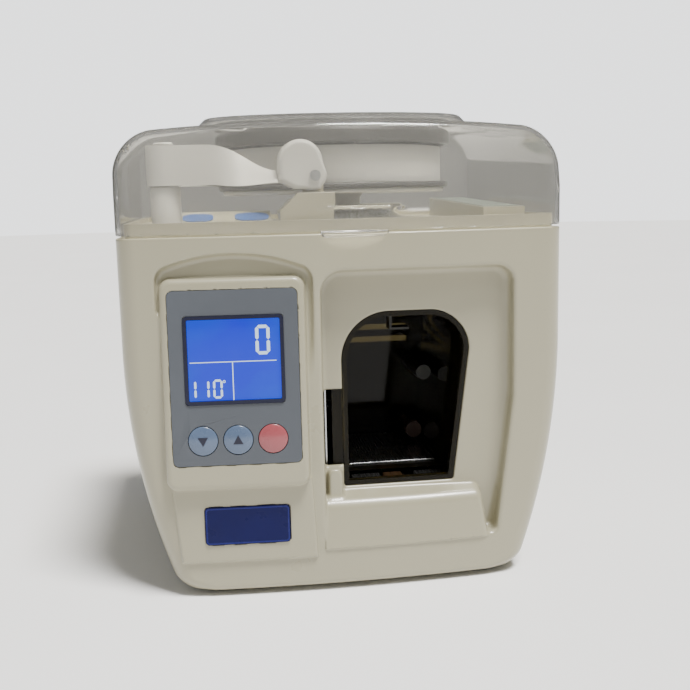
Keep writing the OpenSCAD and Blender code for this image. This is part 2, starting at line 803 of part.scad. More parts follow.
// The solid inside the cover's outer faces, smaller by inset.
module cover_solid(inset) {
    low = inset > 0 ? cover_z - 1 : cover_z;
    crown_c = [0, cover_top - crown_r];
    side_c = [
        half_w - cover_r,
        crown_c[1] + sqrt(pow(crown_r - cover_r, 2) - pow(half_w - cover_r, 2))
    ];
    meet = 90 - asin(side_c[0] / (crown_r - cover_r));
    right = concat(
        [[half_w - inset, 0]], arc(side_c, cover_r - inset, 0, meet, 10),
        arc(crown_c, crown_r - inset, meet + 1, 90, 5)
    );
    intersection() {
        translate([0, 0, low]) linear_extrude(height = 90) plan_outline(inset);
        translate([-half_w - 1, 0, 0]) rotate([90, 0, 90]) linear_extrude(height = case_w + 2)
            polygon([
                [inset - 1, low - 1], [inset - 1, cover_break], [inset, cover_break],
                [inset + cover_lean - 1.2, cover_top - inset - 3.5],
                [inset + cover_lean - 0.2, cover_top - inset - 1.2],
                [inset + cover_lean + 2, cover_top - inset + 1], [inset + cover_lean + 2, 300],
                [case_d - 8, 300], [case_d - 8, cover_z_at(case_d - 8) - inset],
                [case_d - inset, cover_z_at(case_d) - inset - 8], [case_d - inset, low - 1]
            ]);
        translate([0, cover_lean, 0]) rotate([cover_slope, 0, 0])
            upright(-40, case_d + 40) polygon(concat(right, mirrored(right)));
    }
}

module dome(inset, below) {
    translate([reel_x, reel_y, cover_z_at(reel_y) - below]) rotate([cover_slope, 0, 0])
        cylinder(r1 = dome_r + dome_h + below - inset, r2 = dome_r - inset,
            h = dome_h + below - inset, $fn = 128);
}

module clear_cover() {
    tab_r = (tab_w * tab_w / 4 + tab_out * tab_out) / (2 * tab_out);
    color(clear) place() difference() {
        union() {
            cover_solid(0);
            dome(0, 2);
            for (s = [-1, 1]) rod_x([s * hinge_x - knuckle_w / 2, hinge_y, hinge_z], hinge_d, knuckle_w);
            intersection() {
                translate([tab_x, tab_r - tab_out, cover_z + 3]) sphere(r = tab_r, $fn = 160);
                block([tab_x - tab_w, -10, cover_z - 3.5], [tab_x + tab_w, 2, cover_z + 9.5]);
            }
        }
        difference() {
            cover_solid(cover_t);
            for (s = [-1, 1]) rod_x([s * hinge_x - knuckle_w / 2, hinge_y, hinge_z], hinge_d, knuckle_w);
        }
        dome(cover_t, 6);
        // the rear edge clears the case as the cover turns, but for the hinge barrels
        difference() {
            block([-half_w - 1, hinge_y - 0.5, cover_z - 1], [half_w + 1, case_d + 1, cover_z + 1.8]);
            for (s = [-1, 1]) rod_x([s * hinge_x - knuckle_w / 2, hinge_y, hinge_z], hinge_d, knuckle_w);
        }
        // room for the case below the finger tab
        translate([0, 0, cover_z - 20]) linear_extrude(height = 20) plan_outline(-0.4);
        // room for the deck's hinge lugs, and the pin's bore
        for (s = [-1, 1], t = [-1, 1])
            translate([s * hinge_x + t * (knuckle_w / 2 + play + lug_w / 2) - lug_w / 2 - play,
                case_d - 12, cover_z - 1])
                cube([lug_w + 2 * play, 14, hinge_r + 1 + 4.4]);
        for (s = [-1, 1]) rod_x([s * hinge_x - 20, hinge_y, hinge_z], pin_d + 2 * run, 40);
    }
}

module hinge_pins() {
    length = knuckle_w + 2 * play + 2 * lug_w;
    color(steel) place() for (s = [-1, 1])
        rod_x([s * hinge_x - length / 2, hinge_y, hinge_z], pin_d, length);
}

// ---------------------------------------------------------------- note mouth

module ring_outline(grow, thick) {
    difference() {
        mouth_outline(grow);
        mouth_outline(grow - thick);
    }
}

module strap_arch() {
    lip_y = recess_y + 0.8;
    outer = track_d + arch_t;
    color(smoke) place() difference() {
        union() {
            upright(lip_y, track_y1) ring_outline(-0.3, guide_t);
            upright(recess_y + recess_skin + 0.2, track_y1) ring_outline(outer, outer + 1);
            upright(track_y1 - 1, track_y2 + 1) ring_outline(outer, arch_t);
            upright(track_y2, track_y2 + 1.5) ring_outline(outer, outer + 3);
        }
        // the track is open below, where the press heads work
        block([mouth_x1 - 20, recess_y + recess_skin, 0], [mouth_x3 + 20, track_y2 + 5, mouth_z1 + 0.3]);
    }
}

module note_chamber() {
    y1 = track_y2 + 1.5;
    color(smoke) place() difference() {
        union() {
            upright(y1, chamber_y) ring_outline(-0.3, guide_t);
            upright(chamber_y - guide_t, chamber_y) mouth_outline(-1);
        }
        rod_x([mouth_x1 - 5, 75, clamp_z], rod_d + 2 * play, 12);
    }
}

module note_table() {
    z1 = mouth_z1 + 0.3 + guide_t;
    color(steel) place() block([mouth_x1 + 4.5, track_y2 + 2.5, z1],
        [mouth_x2 - 3.5, chamber_y - guide_t - 1, z1 + 1.2]);
}

// L-shaped stop that hangs from the chamber's roof.
module note_bracket() {
    top = mouth_z2 - 0.3 - guide_t;
    color(steel) place() {
        block([33, 68, top - 15], [34.5, 78, top]);
        block([33, 68, top - 15], [45, 78, top - 13.5]);
    }
}

module guide_pin() {
    color(steel) place() rod_y([54, track_y2 + 30, mouth_z1 + 50], 9, chamber_y - guide_t - track_y2 - 30);
}

module guide_knob() {
    color([0.35, 0.2, 0.1]) place() {
        rod_y([50, chamber_y - guide_t - 30, mouth_z1 + 12], 10, 8);
        rod_y([50, chamber_y - guide_t - 22, mouth_z1 + 12], 5, 22);
    }
}

// ---------------------------------------------------------------- strap supply

module reel_spindle() {
    color(steel) place() translate([reel_x, reel_y, deck_z]) {
        cylinder(r = 20, h = 3);
        cylinder(d = spindle_d, h = cap_z + cap_h + 2.5 - deck_z);
    }
}

module reel_tray() {
    color(white) place() translate([reel_x, reel_y, 0]) difference() {
        union() {
            translate([0, 0, tray_z - 2.5]) cylinder(r = tray_r, h = 2.5);
            translate([0, 0, deck_z + 3]) cylinder(r = 16, h = tray_z - deck_z - 3);
        }
        cylinder(d = spindle_d, h = 400);
    }
}

module reel_flange() {
    color(dark) place() translate([reel_x, reel_y, 0]) difference() {
        union() {
            translate([0, 0, roll_z - deck_t]) cylinder(r = flange_r, h = deck_t);
            translate([0, 0, roll_z - deck_t]) cylinder(r = hub_r, h = cap_z - roll_z + deck_t);
        }
        cylinder(d = spindle_d + 2 * run, h = 400);
    }
}

module strap_roll() {
    color([0.9, 0.9, 0.88]) place() translate([reel_x, reel_y, roll_z]) difference() {
        cylinder(r = roll_r, h = strap_w);
        translate([0, 0, -1]) cylinder(r = hub_r, h = strap_w + 2);
    }
}

module reel_cap() {
    rim = 3;
    color(dark) place() translate([reel_x, reel_y, cap_z]) difference() {
        cylinder(r = cap_r, h = cap_h);
        translate([0, 0, -1]) difference() {
            cylinder(r = cap_r - rim, h = cap_h - rim + 1);
            cylinder(r = hub_r, h = cap_h);
        }
        translate([0, 0, -1]) cylinder(d = spindle_d + 2 * run, h = 40);
    }
}

module guide_post() {
    color(white) place() translate([roller_x, roller_y, 0]) {
        translate([0, 0, deck_z]) cylinder(d = post_d, h = post_z - deck_z);
        translate([0, 0, post_z]) cylinder(d = 6, h = roller_h + 2 * play + 1.2);
        translate([0, 0, post_z + roller_h + 2 * play]) cylinder(d = 10, h = 1.2);
    }
}

module guide_roller() {
    color(white) place() translate([roller_x, roller_y, post_z + play]) difference() {
        cylinder(d = roller_d, h = roller_h);
        translate([0, 0, -1]) cylinder(d = 6 + 2 * run, h = roller_h + 2);
    }
}

// ---------------------------------------------------------------- guide lever

module lever_bracket() {
    back = lever_y + lever_t + 0.4;
    color(cream) place() difference() {
        union() {
            upright(lever_y - 1, back + 2.4) polygon([
                [lever_x - 18.5, deck_z], [lever_x + 10, deck_z], [lever_x + 10, bracket_top],
                [lever_x - 9, bracket_top], [lever_x - 18.5, bracket_top - 9]
            ]);
            block([lever_x - 5, back, bracket_top], [lever_x + 6, back + 2.4, lever_z + 5]);
        }
        block([slit_x - 1.5, lever_y + 2, deck_z - 1], [slit_x + 1.5, back + 3, bracket_top + 1]);
        rod_y([lever_x, back - 1, lever_z], lever_pin_d, 10);
    }
}

module lever_outline() {
    translate([lever_x - 7, lever_z + 7]) circle(r = 11.4);
    translate([lever_x - 1, lever_z + 0.3]) circle(r = 7.4);
    polygon([
        [lever_x - 18.4, lever_z + 8], [lever_x - 18.4, lever_z - 2.4], [lever_x - 11, lever_z - 6.6],
        [lever_x - 2, lever_z - 6.8],
        [lever_x + 3, lever_z + 2], [lever_x + 3.4, lever_z + 6], [lever_x - 6, lever_z + 10]
    ]);
}

module guide_lever() {
    web_y = lever_y + 3;
    back_y = lever_y + lever_t + 1;
    color(white) place() difference() {
        upright(lever_y, lever_y + lever_t) lever_outline();
        // slit for the strap, from the left side down to the underside
        block([lever_x - 20, web_y, lever_z - 1.5], [slit_x + 1.5, back_y, lever_z + 1.5]);
        block([slit_x - 1.5, web_y, lever_z - 10], [slit_x + 1.5, back_y, lever_z + 1.5]);
        rod_y([lever_x, lever_y - 1, lever_z], lever_pin_d + 2 * run, lever_t + 2);
    }
}

module lever_screw() {
    length = lever_t + 0.4 + 2.4;
    color(steel) place() {
        rod_y([lever_x, lever_y - play, lever_z], lever_pin_d, length + play);
        difference() {
            rod_y([lever_x, lever_y - play - 1.8, lever_z], 5.6, 1.8);
            block([lever_x - 4, lever_y - play - 2, lever_z - 0.4],
                [lever_x + 4, lever_y - play - 1.2, lever_z + 0.4]);
        }
    }
}

// The strap: off the roll, round the roller, then narrowing as it turns into the lever's slit.
module strap_web() {
    reel_c = [reel_x, reel_y];
    roller_c = [roller_x, roller_y];
    reach = norm(roller_c - reel_c);
    aim = atan2(roller_y - reel_y, roller_x - reel_x);
    turn = aim - acos((roll_r - roller_d / 2) / reach) + 360;
    away = [cos(turn), sin(turn)];
    in_r = roller_d / 2 + 0.1;
    start = reel_c + (roll_r + 0.2) * away;
    end_x = lever_x - 19;
    front_y = roller_y - in_r;
    top = roll_z + strap_w;
    half_end = 4;
    color([0.92, 0.92, 0.88]) place() difference() {
        translate([0, 0, roll_z]) linear_extrude(height = strap_w) polygon(concat(
            [start], arc(roller_c, in_r, turn, 270, 14),
            [[end_x, front_y], [end_x, front_y - strap_t]],
            arc(roller_c, in_r + strap_t, 270, turn, 14), [start + strap_t * away]
        ));
        upright(front_y - 1, front_y + 1)
            polygon([[turn_x, top], [end_x, lever_z + half_end], [end_x + 1, top + 1], [turn_x, top + 1]]);
        upright(front_y - 1, front_y + 1) polygon([
            [turn_x, roll_z], [turn_x, roll_z - 1], [end_x + 1, roll_z - 1], [end_x, lever_z - half_end]
        ]);
    }
}

// The strap inside the case: from the deck's slot to the rollers, and on down the chute.
module strap_feed() {
    path = [
        [slit_x, deck_z - 1], [slit_x, case_h - 4], [strap_x - 0.6, feed_z + 8],
        [strap_x, feed_z + 1], [strap_x, notch_z1 + 2]
    ];
    half_t = strap_t / 2;
    color([0.92, 0.92, 0.88]) place() upright(feed_y1 + 0.2, feed_y2 - 0.2) polygon(concat(
        [for (p = path) [p[0] - half_t, p[1]]],
        [for (i = [len(path) - 1 : -1 : 0]) [path[i][0] + half_t, path[i][1]]]
    ));
}

// ---------------------------------------------------------------- feed

module feed_motor() {
    color(steel) place() difference() {
        union() {
            rod_y([feed_x, feed_plate_y + 2, feed_z], feed_motor_d, 40);
            rod_y([feed_x, feed_plate_y + 42, feed_z], 10, 4);
        }
        rod_y([feed_x, feed_plate_y, feed_z], 4 + 2 * run, 12);
    }
}

module feed_gear_at(x, teeth, turn) {
    translate([x, feed_y2 + 0.6, feed_z]) rotate([-90, 0, 0]) rotate([0, 0, turn])
        gear(teeth, feed_gear_m, 2.8);
}

module feed_roller() {
    color([0.3, 0.3, 0.3]) place() {
        rod_y([feed_x, feed_y1, feed_z], feed_d, strap_w);
        feed_gear_at(feed_x, 18, 0);
        rod_y([feed_x, feed_y2, feed_z], 4, 15);
    }
}

module pinch_roller() {
    color([0.3, 0.3, 0.3]) place() {
        rod_y([pinch_x, feed_y1, feed_z], pinch_d, strap_w);
        feed_gear_at(pinch_x, 12, 180 + 15);
        rod_y([pinch_x, feed_y2, feed_z], 4, 6);
    }
}

module feed_bracket() {
    color(steel) place() difference() {
        block([feed_x - 16, feed_plate_y, feed_z - 14],
            [pinch_x + 8, feed_plate_y + 2, case_h - deck_t + 4.2]);
        rod_y([feed_x, feed_plate_y - 1, feed_z], 4 + 2 * run, 5);
        rod_y([pinch_x, feed_plate_y - 1, feed_z], 4 + 2 * run, 5);
    }
}

module strap_chute() {
    top = feed_z - 12;
    low = mouth_z1 + 6;
    color(steel) place() {
        for (x = [strap_x - 1.8, strap_x + 0.8]) block([x, track_y1 + 1, low], [x + 1, track_y2 - 1, top]);
        block([strap_x - 1.8, track_y2 - 1, low], [strap_x + 1.8, track_y2, top + 2]);
        block([strap_x - 1.8, track_y2, top - 4], [strap_x + 1.8, feed_plate_y, top + 2]);
    }
}

// ---------------------------------------------------------------- press

module cam_shaft() {
    color(steel) place() {
        rod_x([gear_x - 3, head_y, cam_z], cam_shaft_d, frame_x2 + frame_t - gear_x + 4);
        translate([gear_x, head_y, cam_z]) rotate([0, 90, 0])
            rotate([0, 0, 90]) gear(cam_teeth, gear_m, gear_w);
        for (i = [-1 : 1]) translate([head_x + i * head_pitch - cam_w / 2, head_y, cam_z])
            rotate([40 * i, 0, 0]) rotate([0, 90, 0]) {
                cylinder(d = 12, h = cam_w);
                translate([cam_nose - 4.5, 0, 0]) cylinder(d = 9, h = cam_w);
            }
    }
}

module motor_pinion() {
    color(copper) place() {
        translate([gear_x, drive_y, cam_z]) rotate([0, 90, 0])
            rotate([0, 0, 270 + 180 / pinion_teeth]) gear(pinion_teeth, gear_m, gear_w);
        rod_x([gear_x - 10, drive_y, cam_z], 4, 12);
    }
}

module drive_motor() {
    length = 40;
    color(steel) place() difference() {
        union() {
            rod_x([gear_x - 4 - length, drive_y, cam_z], drive_motor_d, length);
            block([gear_x - 24, drive_y - 8, floor_z], [gear_x - 12, drive_y + 8, cam_z]);
        }
        rod_x([gear_x - 14, drive_y, cam_z], 4 + 2 * run, 20);
    }
}

// Two bearing plates on a foot, joined by the block that guides the press heads.
module mechanism_frame() {
    y1 = head_y - head_d / 2 - 1.5;
    y2 = head_y + head_d / 2 + 1.5;
    color(steel) place() difference() {
        union() {
            for (x = [frame_x1, frame_x2]) block([x, y1, floor_z], [x + frame_t, y2, head_top - 3]);
            block([frame_x1, y1, head_z + 3], [frame_x2 + frame_t, y2, head_top - 3]);
        }
        for (i = [-1 : 1]) block([head_x + i * head_pitch - head_w / 2 - play, head_y - head_d / 2 - play, 0],
            [head_x + i * head_pitch + head_w / 2 + play, head_y + head_d / 2 + play, head_top]);
        rod_x([frame_x1 - 1, head_y, cam_z], cam_shaft_d + 2 * run, frame_x2 - frame_x1 + 10);
    }
}

// A press head: a block with a hollow for its spring.
module head(i, top) {
    x = head_x + i * head_pitch;
    block([x - head_w / 2, head_y - head_d / 2, head_z], [x + head_w / 2, head_y + head_d / 2, top]);
}

module left_gripper() {
    color(steel) place() head(-1, head_top);
}

module right_gripper() {
    color(steel) place() head(1, head_top);
}

module press_head() {
    x = head_x;
    color(steel) place() difference() {
        head(0, head_top - 2);
        block([x + 3, head_y - head_d, head_z + 2], [x + 4.6, head_y + head_d, head_top]);
    }
}

module heater_plate() {
    x = head_x;
    color(copper) place() block([x - head_w / 2, head_y - head_d / 2, head_top - 2],
        [x + 2.4, head_y + head_d / 2, head_top]);
}

module cutter_blade() {
    x = head_x;
    color(steel) place() block([x + 3.2, head_y - head_d / 2, head_z + 2.4],
        [x + 4.4, head_y + head_d / 2, head_top - 0.4]);
}

// Springs that pull the heads down, drawn as closed coils.
module return_springs() {
    turns = 6;
    wire = 1.2;
    color(steel) place() for (i = [-1 : 1])
        translate([head_x + i * head_pitch, head_y + head_d / 2 + 6, head_z + 6])
        rotate_extrude($fn = 48) for (k = [0 : turns - 1])
            translate([2.6, k * wire * 0.9]) circle(d = wire, $fn = 16);
}

module clamp_plate() {
    x = mouth_x1 + 0.3 + guide_t + 0.4;
    color(steel) place() {
        block([x, track_y2 + 6, mouth_z1 + clamp_low], [x + 2, clamp_y2, mouth_z1 + clamp_low + clamp_h]);
        rod_x([x - 66, clamp_y, clamp_z], rod_d, 66.5);
    }
}

module clamp_bracket() {
    x = mouth_x1 - clamp_reach;
    half = 9;
    color(steel) place() difference() {
        union() {
            block([x, clamp_y - half, floor_z], [x + 3, clamp_y + half, clamp_z + 10]);
            block([x, clamp_y - half, floor_z], [x + 18, clamp_y + half, floor_z + 3]);
            rod_x([x - 3, clamp_y, clamp_z], 14, 9);
        }
        rod_x([x - 5, clamp_y, clamp_z], rod_d + 2 * run, 14);
    }
}

// ---------------------------------------------------------------- power

module power_board() {
    z = floor_z + 6;
    color(green) place() translate([board_x, board_y, 0]) {
        block([0, 0, z], [board_w, board_d, z + board_t]);
        for (x = [6, board_w - 6], y = [5, board_d - 5]) translate([x, y, floor_z]) cylinder(d = 5, h = 6);
        for (x = [16, 34]) translate([x, 24, z + board_t]) cylinder(d = 13, h = 24);
        block([50, 8, z + board_t], [board_w - 6, 14, z + 22]);
    }
}

module transformer() {
    color(copper) place() translate([bulk_x, board_y - 3, floor_z]) {
        block([0, 0, 0], [bulk_w, bulk_d, bulk_h]);
        block([10, -6, 6], [bulk_w - 10, bulk_d + 6, bulk_h - 6]);
    }
}

module power_inlet() {
    w = 21;
    h = 14;
    color(black) place() difference() {
        union() {
            block([inlet_x - 14, case_d - 18, rear_z - 10], [inlet_x + 14, case_d, rear_z + 10]);
            upright(case_d, case_d + inlet_t) translate([inlet_x - inlet_w / 2, rear_z - 12])
                round_rect(inlet_w, 24, 5);
        }
        block([inlet_x - w / 2, case_d - 14, rear_z - h / 2], [inlet_x + w / 2, case_d + 5, rear_z + h / 2]);
        for (s = [-1, 1]) rod_y([inlet_x + s * (inlet_w / 2 - 5), case_d - 1, rear_z], 3.4, 5);
    }
}

module inlet_pins() {
    color(steel) place() for (p = [[-5, -2], [0, 2.6], [5, -2]])
        translate([inlet_x + p[0], case_d, rear_z + p[1]]) block([-1, -14, -2.4], [1, -2, 2.4]);
}

module switch_housing() {
    color(black) place() difference() {
        union() {
            block([switch_x - 9.5, case_d - 16, rear_z - 6.8], [switch_x + 9.5, case_d, rear_z + 6.8]);
            block([switch_x - 11, case_d, rear_z - 8.5], [switch_x + 11, case_d + 1, rear_z + 8.5]);
        }
        block([switch_x - 8, case_d - 10, rear_z - rocker_w / 2 - play],
            [switch_x + 8, case_d + 5, rear_z + rocker_w / 2 + play]);
    }
}

// The rocker turns on an axle across its middle. Its two halves lean towards each other.
module power_rocker() {
    half = 6.9;
    tall = 5.8;
    color(black) place() translate([switch_x, rocker_y, rear_z - rocker_w / 2])
        rotate([0, 0, -rocker_turn / 2]) {
            linear_extrude(height = rocker_w) polygon([
                [-half, 0], [half, 0], [half, tall], [0, tall - half * tan(rocker_turn / 2)],
                [-half, tall]
            ]);
            cylinder(d = 5, h = rocker_w);
        }
}

module fuse_holder() {
    color(black) place() {
        rod_y([fuse_x, case_d - 22, rear_z], 12.4, 22);
        difference() {
            rod_y([fuse_x, case_d, rear_z], 15, 1.9);
            block([fuse_x - 5, case_d + 1, rear_z - 0.6], [fuse_x + 5, case_d + 3, rear_z + 0.6]);
        }
    }
}

module case_screws() {
    color(steel) place() for (s = [-1, 1]) translate([s * screw_x, case_d, screw_z]) {
        rod_y([0, -9, 0], 3, 9);
        difference() {
            rod_y([0, 0, 0], 6, 1.4);
            block([-2, 0.8, -0.4], [2, 2, 0.4]);
        }
    }
}

front_shell();
rear_shell();
base_plate();
rubber_feet();
top_deck();
deck_labels();
clear_cover();
hinge_pins();
control_overlay();
display_frame();
display_module();
button_down();
button_up();
button_clear();
control_board();
name_plate();
strap_arch();
note_chamber();
note_table();
note_bracket();
guide_pin();
guide_knob();
reel_spindle();
reel_tray();
reel_flange();
strap_roll();
reel_cap();
guide_post();
guide_roller();
lever_bracket();
guide_lever();
lever_screw();
strap_web();
strap_feed();
feed_motor();
feed_roller();
pinch_roller();
feed_bracket();
strap_chute();
drive_motor();
motor_pinion();
cam_shaft();
mechanism_frame();
left_gripper();
press_head();
heater_plate();
right_gripper();
cutter_blade();
return_springs();
clamp_plate();
clamp_bracket();
power_board();
transformer();
power_inlet();
inlet_pins();
switch_housing();
power_rocker();
fuse_holder();
case_screws();
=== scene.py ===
import json
import math

import bmesh
import bpy
import numpy as np
from mathutils import Matrix, Vector

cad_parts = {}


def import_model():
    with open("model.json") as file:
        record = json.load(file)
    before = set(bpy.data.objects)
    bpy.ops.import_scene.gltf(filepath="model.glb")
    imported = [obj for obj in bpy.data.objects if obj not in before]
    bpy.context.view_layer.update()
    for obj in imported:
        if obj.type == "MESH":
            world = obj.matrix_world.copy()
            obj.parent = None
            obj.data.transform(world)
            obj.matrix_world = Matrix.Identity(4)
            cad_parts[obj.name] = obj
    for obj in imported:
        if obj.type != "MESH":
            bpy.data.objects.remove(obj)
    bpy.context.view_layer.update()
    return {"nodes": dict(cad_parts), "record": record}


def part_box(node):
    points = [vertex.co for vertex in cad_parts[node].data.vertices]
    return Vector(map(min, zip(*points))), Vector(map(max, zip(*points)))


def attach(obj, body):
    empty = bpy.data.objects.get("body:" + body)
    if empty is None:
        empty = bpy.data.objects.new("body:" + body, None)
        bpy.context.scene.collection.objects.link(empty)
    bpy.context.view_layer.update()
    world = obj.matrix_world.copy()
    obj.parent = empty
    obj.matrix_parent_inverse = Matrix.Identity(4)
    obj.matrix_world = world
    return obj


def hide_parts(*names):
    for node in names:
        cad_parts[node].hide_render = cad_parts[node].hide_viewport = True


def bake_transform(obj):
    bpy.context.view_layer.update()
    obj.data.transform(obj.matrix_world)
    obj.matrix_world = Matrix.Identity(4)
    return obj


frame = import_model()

bl_info = {
    "name": "Banknote strapping machine",
    "version": (1, 0, 0),
    "blender": (4, 5, 0),
    "location": "3D View > Sidebar > Strapper",
    "description": "Builds the looks of a banknote strapping machine around its packed frame",
    "category": "Object",
}


# ------------------------------------------------------------------ measures

def box_mm(node):
    """Lowest and highest corner of a frame node, in millimetres."""
    lo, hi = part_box(node)
    return np.array(lo) * 1000, np.array(hi) * 1000


class Frame:
    """Sizes read from the frame, in millimetres, with Y 0 at the case's front and Z 0 at its underside."""

    def __init__(self):
        low, high = box_mm("rear_shell")
        foot_h = low[2]
        self.half_w = high[0]
        self.case_h = high[2] - foot_h
        self.case_d = 200.0
        front = high[1] - self.case_d
        self.seam_y = low[1] - front
        self.shift = np.array([0.0, front, foot_h])

    def local(self, node):
        lo, hi = box_mm(node)
        return lo - self.shift, hi - self.shift

    def middle(self, node):
        lo, hi = self.local(node)
        return (lo + hi) / 2


F = Frame()


# ------------------------------------------------------------------ settings

def length(name, description, default, low=0.0, high=0.5):
    return bpy.props.FloatProperty(
        name=name, description=description, default=default, min=low, max=high,
        unit="LENGTH", precision=5)


def share(name, description, default, low=0.0, high=1.0):
    return bpy.props.FloatProperty(
        name=name, description=description, default=default, min=low, max=high, unit="NONE")


def turn(name, description, degrees, low=-180.0, high=180.0):
    return bpy.props.FloatProperty(
        name=name, description=description, default=math.radians(degrees),
        min=math.radians(low), max=math.radians(high), unit="ROTATION")


class StrapperCase(bpy.types.PropertyGroup):
    cell: length("Mesh cell", "Size of a mesh cell on the front shell", 0.00085, 0.0004, 0.003)
    rear_cell: length("Rear mesh cell", "Size of a mesh cell on the rear shell", 0.0015, 0.0008, 0.003)
    side_r: length("Side radius", "Radius of the sides where they curve in below", 0.362, 0.2, 0.6)
    side_z: length("Side height", "Height at which the sides begin to curve in", 0.13, 0.1, 0.16)
    bow_r: length("Bow radius", "Radius of the bowed front", 0.9, 0.5, 2.0)
    edge_r: length("Edge radius", "Radius of the upright edges", 0.01, 0.004, 0.016)
    heel_r: length("Heel radius", "Radius of the lower corners", 0.009, 0.004, 0.014)
    sole_r: length("Sole radius", "Radius of the front's lower edge", 0.0035, 0.001, 0.006)
    wall: length("Wall", "Thickness of the walls", 0.003, 0.0015, 0.005)
    recess_depth: length("Recess depth", "Depth of the recess behind the front", 0.014, 0.01, 0.015)
    recess_rim: length("Recess rim", "Radius of the recess's outer edge", 0.0024, 0.0005, 0.004)
    recess_fillet: length(
        "Recess fillet", "Radius between the recess's walls and floor", 0.0042, 0.001, 0.008)
    ledge_edge: length("Ledge edge", "Radius of the ledge's upper front edge", 0.0032, 0.001, 0.006)


class StrapperConsole(bpy.types.PropertyGroup):
    tilt: turn("Tilt", "Backward tilt of the console", 3.5, 0, 10)
    yaw: turn("Turn", "Turn of the console that follows the bowed front", 3.8, 0, 8)
    edge_r: length("Edge radius", "Radius round the console's edges", 0.0032, 0.001, 0.005)
    scoop_depth: length("Scoop depth", "Depth of the scoop above the console", 0.0052, 0.002, 0.007)
    scoop_fillet: length("Scoop fillet", "Radius at the foot of the scoop's wall", 0.003, 0.001, 0.006)
    digit_h: length("Digit height", "Height of the large digit", 0.0152, 0.008, 0.02)
    small_digit_h: length("Small digit height", "Height of the small digits", 0.0098, 0.005, 0.014)
    glow: share("Display glow", "Brightness of the lit display", 0.85, 0.0, 5.0)


class StrapperCover(bpy.types.PropertyGroup):
    cell: length("Mesh cell", "Size of a mesh cell on the clear cover", 0.0012, 0.0006, 0.003)
    thickness: length("Thickness", "Thickness of the clear cover", 0.0024, 0.0015, 0.003)
    break_z: length("Break height", "Height at which the front begins to lean back", 0.2125, 0.2, 0.22)
    lean: length("Lean", "Distance that the upper front edge lies back", 0.007, 0.003, 0.01)
    corner_r: length("Corner radius", "Radius of the upper side corners", 0.021, 0.01, 0.03)
    front_r: length("Front edge radius", "Radius of the upper front edge", 0.004, 0.001, 0.008)


class StrapperSupply(bpy.types.PropertyGroup):
    segments: bpy.props.IntProperty(
        name="Segments", description="Sides of the turned pieces", default=160, min=48, max=320)
    twist: turn("Twist", "Turn of the strap by the time it reaches the lever", 68, 0, 90)
    steps: bpy.props.IntProperty(
        name="Strap steps", description="Pieces along the free strap", default=140, min=40, max=300)


class StrapperInside(bpy.types.PropertyGroup):
    bevel: length("Bevel", "Edge radius of the inner pieces", 0.0003, 0.0, 0.002)


class StrapperLook(bpy.types.PropertyGroup):
    grain: share("Grain", "Strength of the moulded grain", 0.35)
    wear: share("Wear", "Strength of the paler edges", 0.35)
    dust: share("Dust", "Amount of dust on upward faces", 0.3)


class StrapperStage(bpy.types.PropertyGroup):
    lens: bpy.props.FloatProperty(
        name="Lens", description="Focal length in millimetres on a sensor 36 mm wide",
        default=49.565, min=20, max=200, unit="NONE")
    key: share("Key light", "Strength of the main light from above", 6.6, 0.0, 50.0)
    softness: turn("Key softness", "Angle that the main light spans", 16, 0, 90)
    fill: bpy.props.FloatProperty(
        name="Fill light", description="Power of the fill light in watts",
        default=1.6, min=0, max=500, unit="POWER")
    sky: share("Surround", "Light that the pale surround gives", 0.24, 0.0, 4.0)
    backdrop: share("Backdrop", "Brightness of the surround as the camera sees it", 2.2, 0.0, 8.0)


SETTINGS = {
    "strapper_case": StrapperCase,
    "strapper_console": StrapperConsole,
    "strapper_cover": StrapperCover,
    "strapper_supply": StrapperSupply,
    "strapper_inside": StrapperInside,
    "strapper_look": StrapperLook,
    "strapper_stage": StrapperStage,
}


# ------------------------------------------------------------------ distance fields

def round_max(a, b, r):
    """Intersection of two fields with a round outer edge."""
    return np.minimum(np.maximum(a, b), -r) + np.hypot(np.maximum(a + r, 0), np.maximum(b + r, 0))


def round_min(a, b, r):
    """Union of two fields with a round inner corner."""
    return -round_max(-a, -b, r)


def smooth(t):
    t = np.clip(t, 0, 1)
    return t * t * (3 - 2 * t)


def rect(u, v, half_u, half_v, r):
    """Rectangle round the origin, with round corners."""
    a, b = np.abs(u) - half_u + r, np.abs(v) - half_v + r
    return np.minimum(np.maximum(a, b), 0) + np.hypot(np.maximum(a, 0), np.maximum(b, 0)) - r


def brick(x, y, z, lo, hi, r=0.0):
    """Box between two corners, with round edges."""
    c, h = [(a + b) / 2 for a, b in zip(lo, hi)], [(b - a) / 2 - r for a, b in zip(lo, hi)]
    a, b, d = np.abs(x - c[0]) - h[0], np.abs(y - c[1]) - h[1], np.abs(z - c[2]) - h[2]
    out = np.sqrt(np.maximum(a, 0) ** 2 + np.maximum(b, 0) ** 2 + np.maximum(d, 0) ** 2)
    return out + np.minimum(np.maximum(a, np.maximum(b, d)), 0) - r


def slope(a, b, p, q):
    """Signed distance from the line through p and q; the right of the way from p to q is outside."""
    t = np.array(q, float) - np.array(p, float)
    n = np.array([t[1], -t[0]]) / np.hypot(*t)
    return (a - p[0]) * n[0] + (b - p[1]) * n[1]


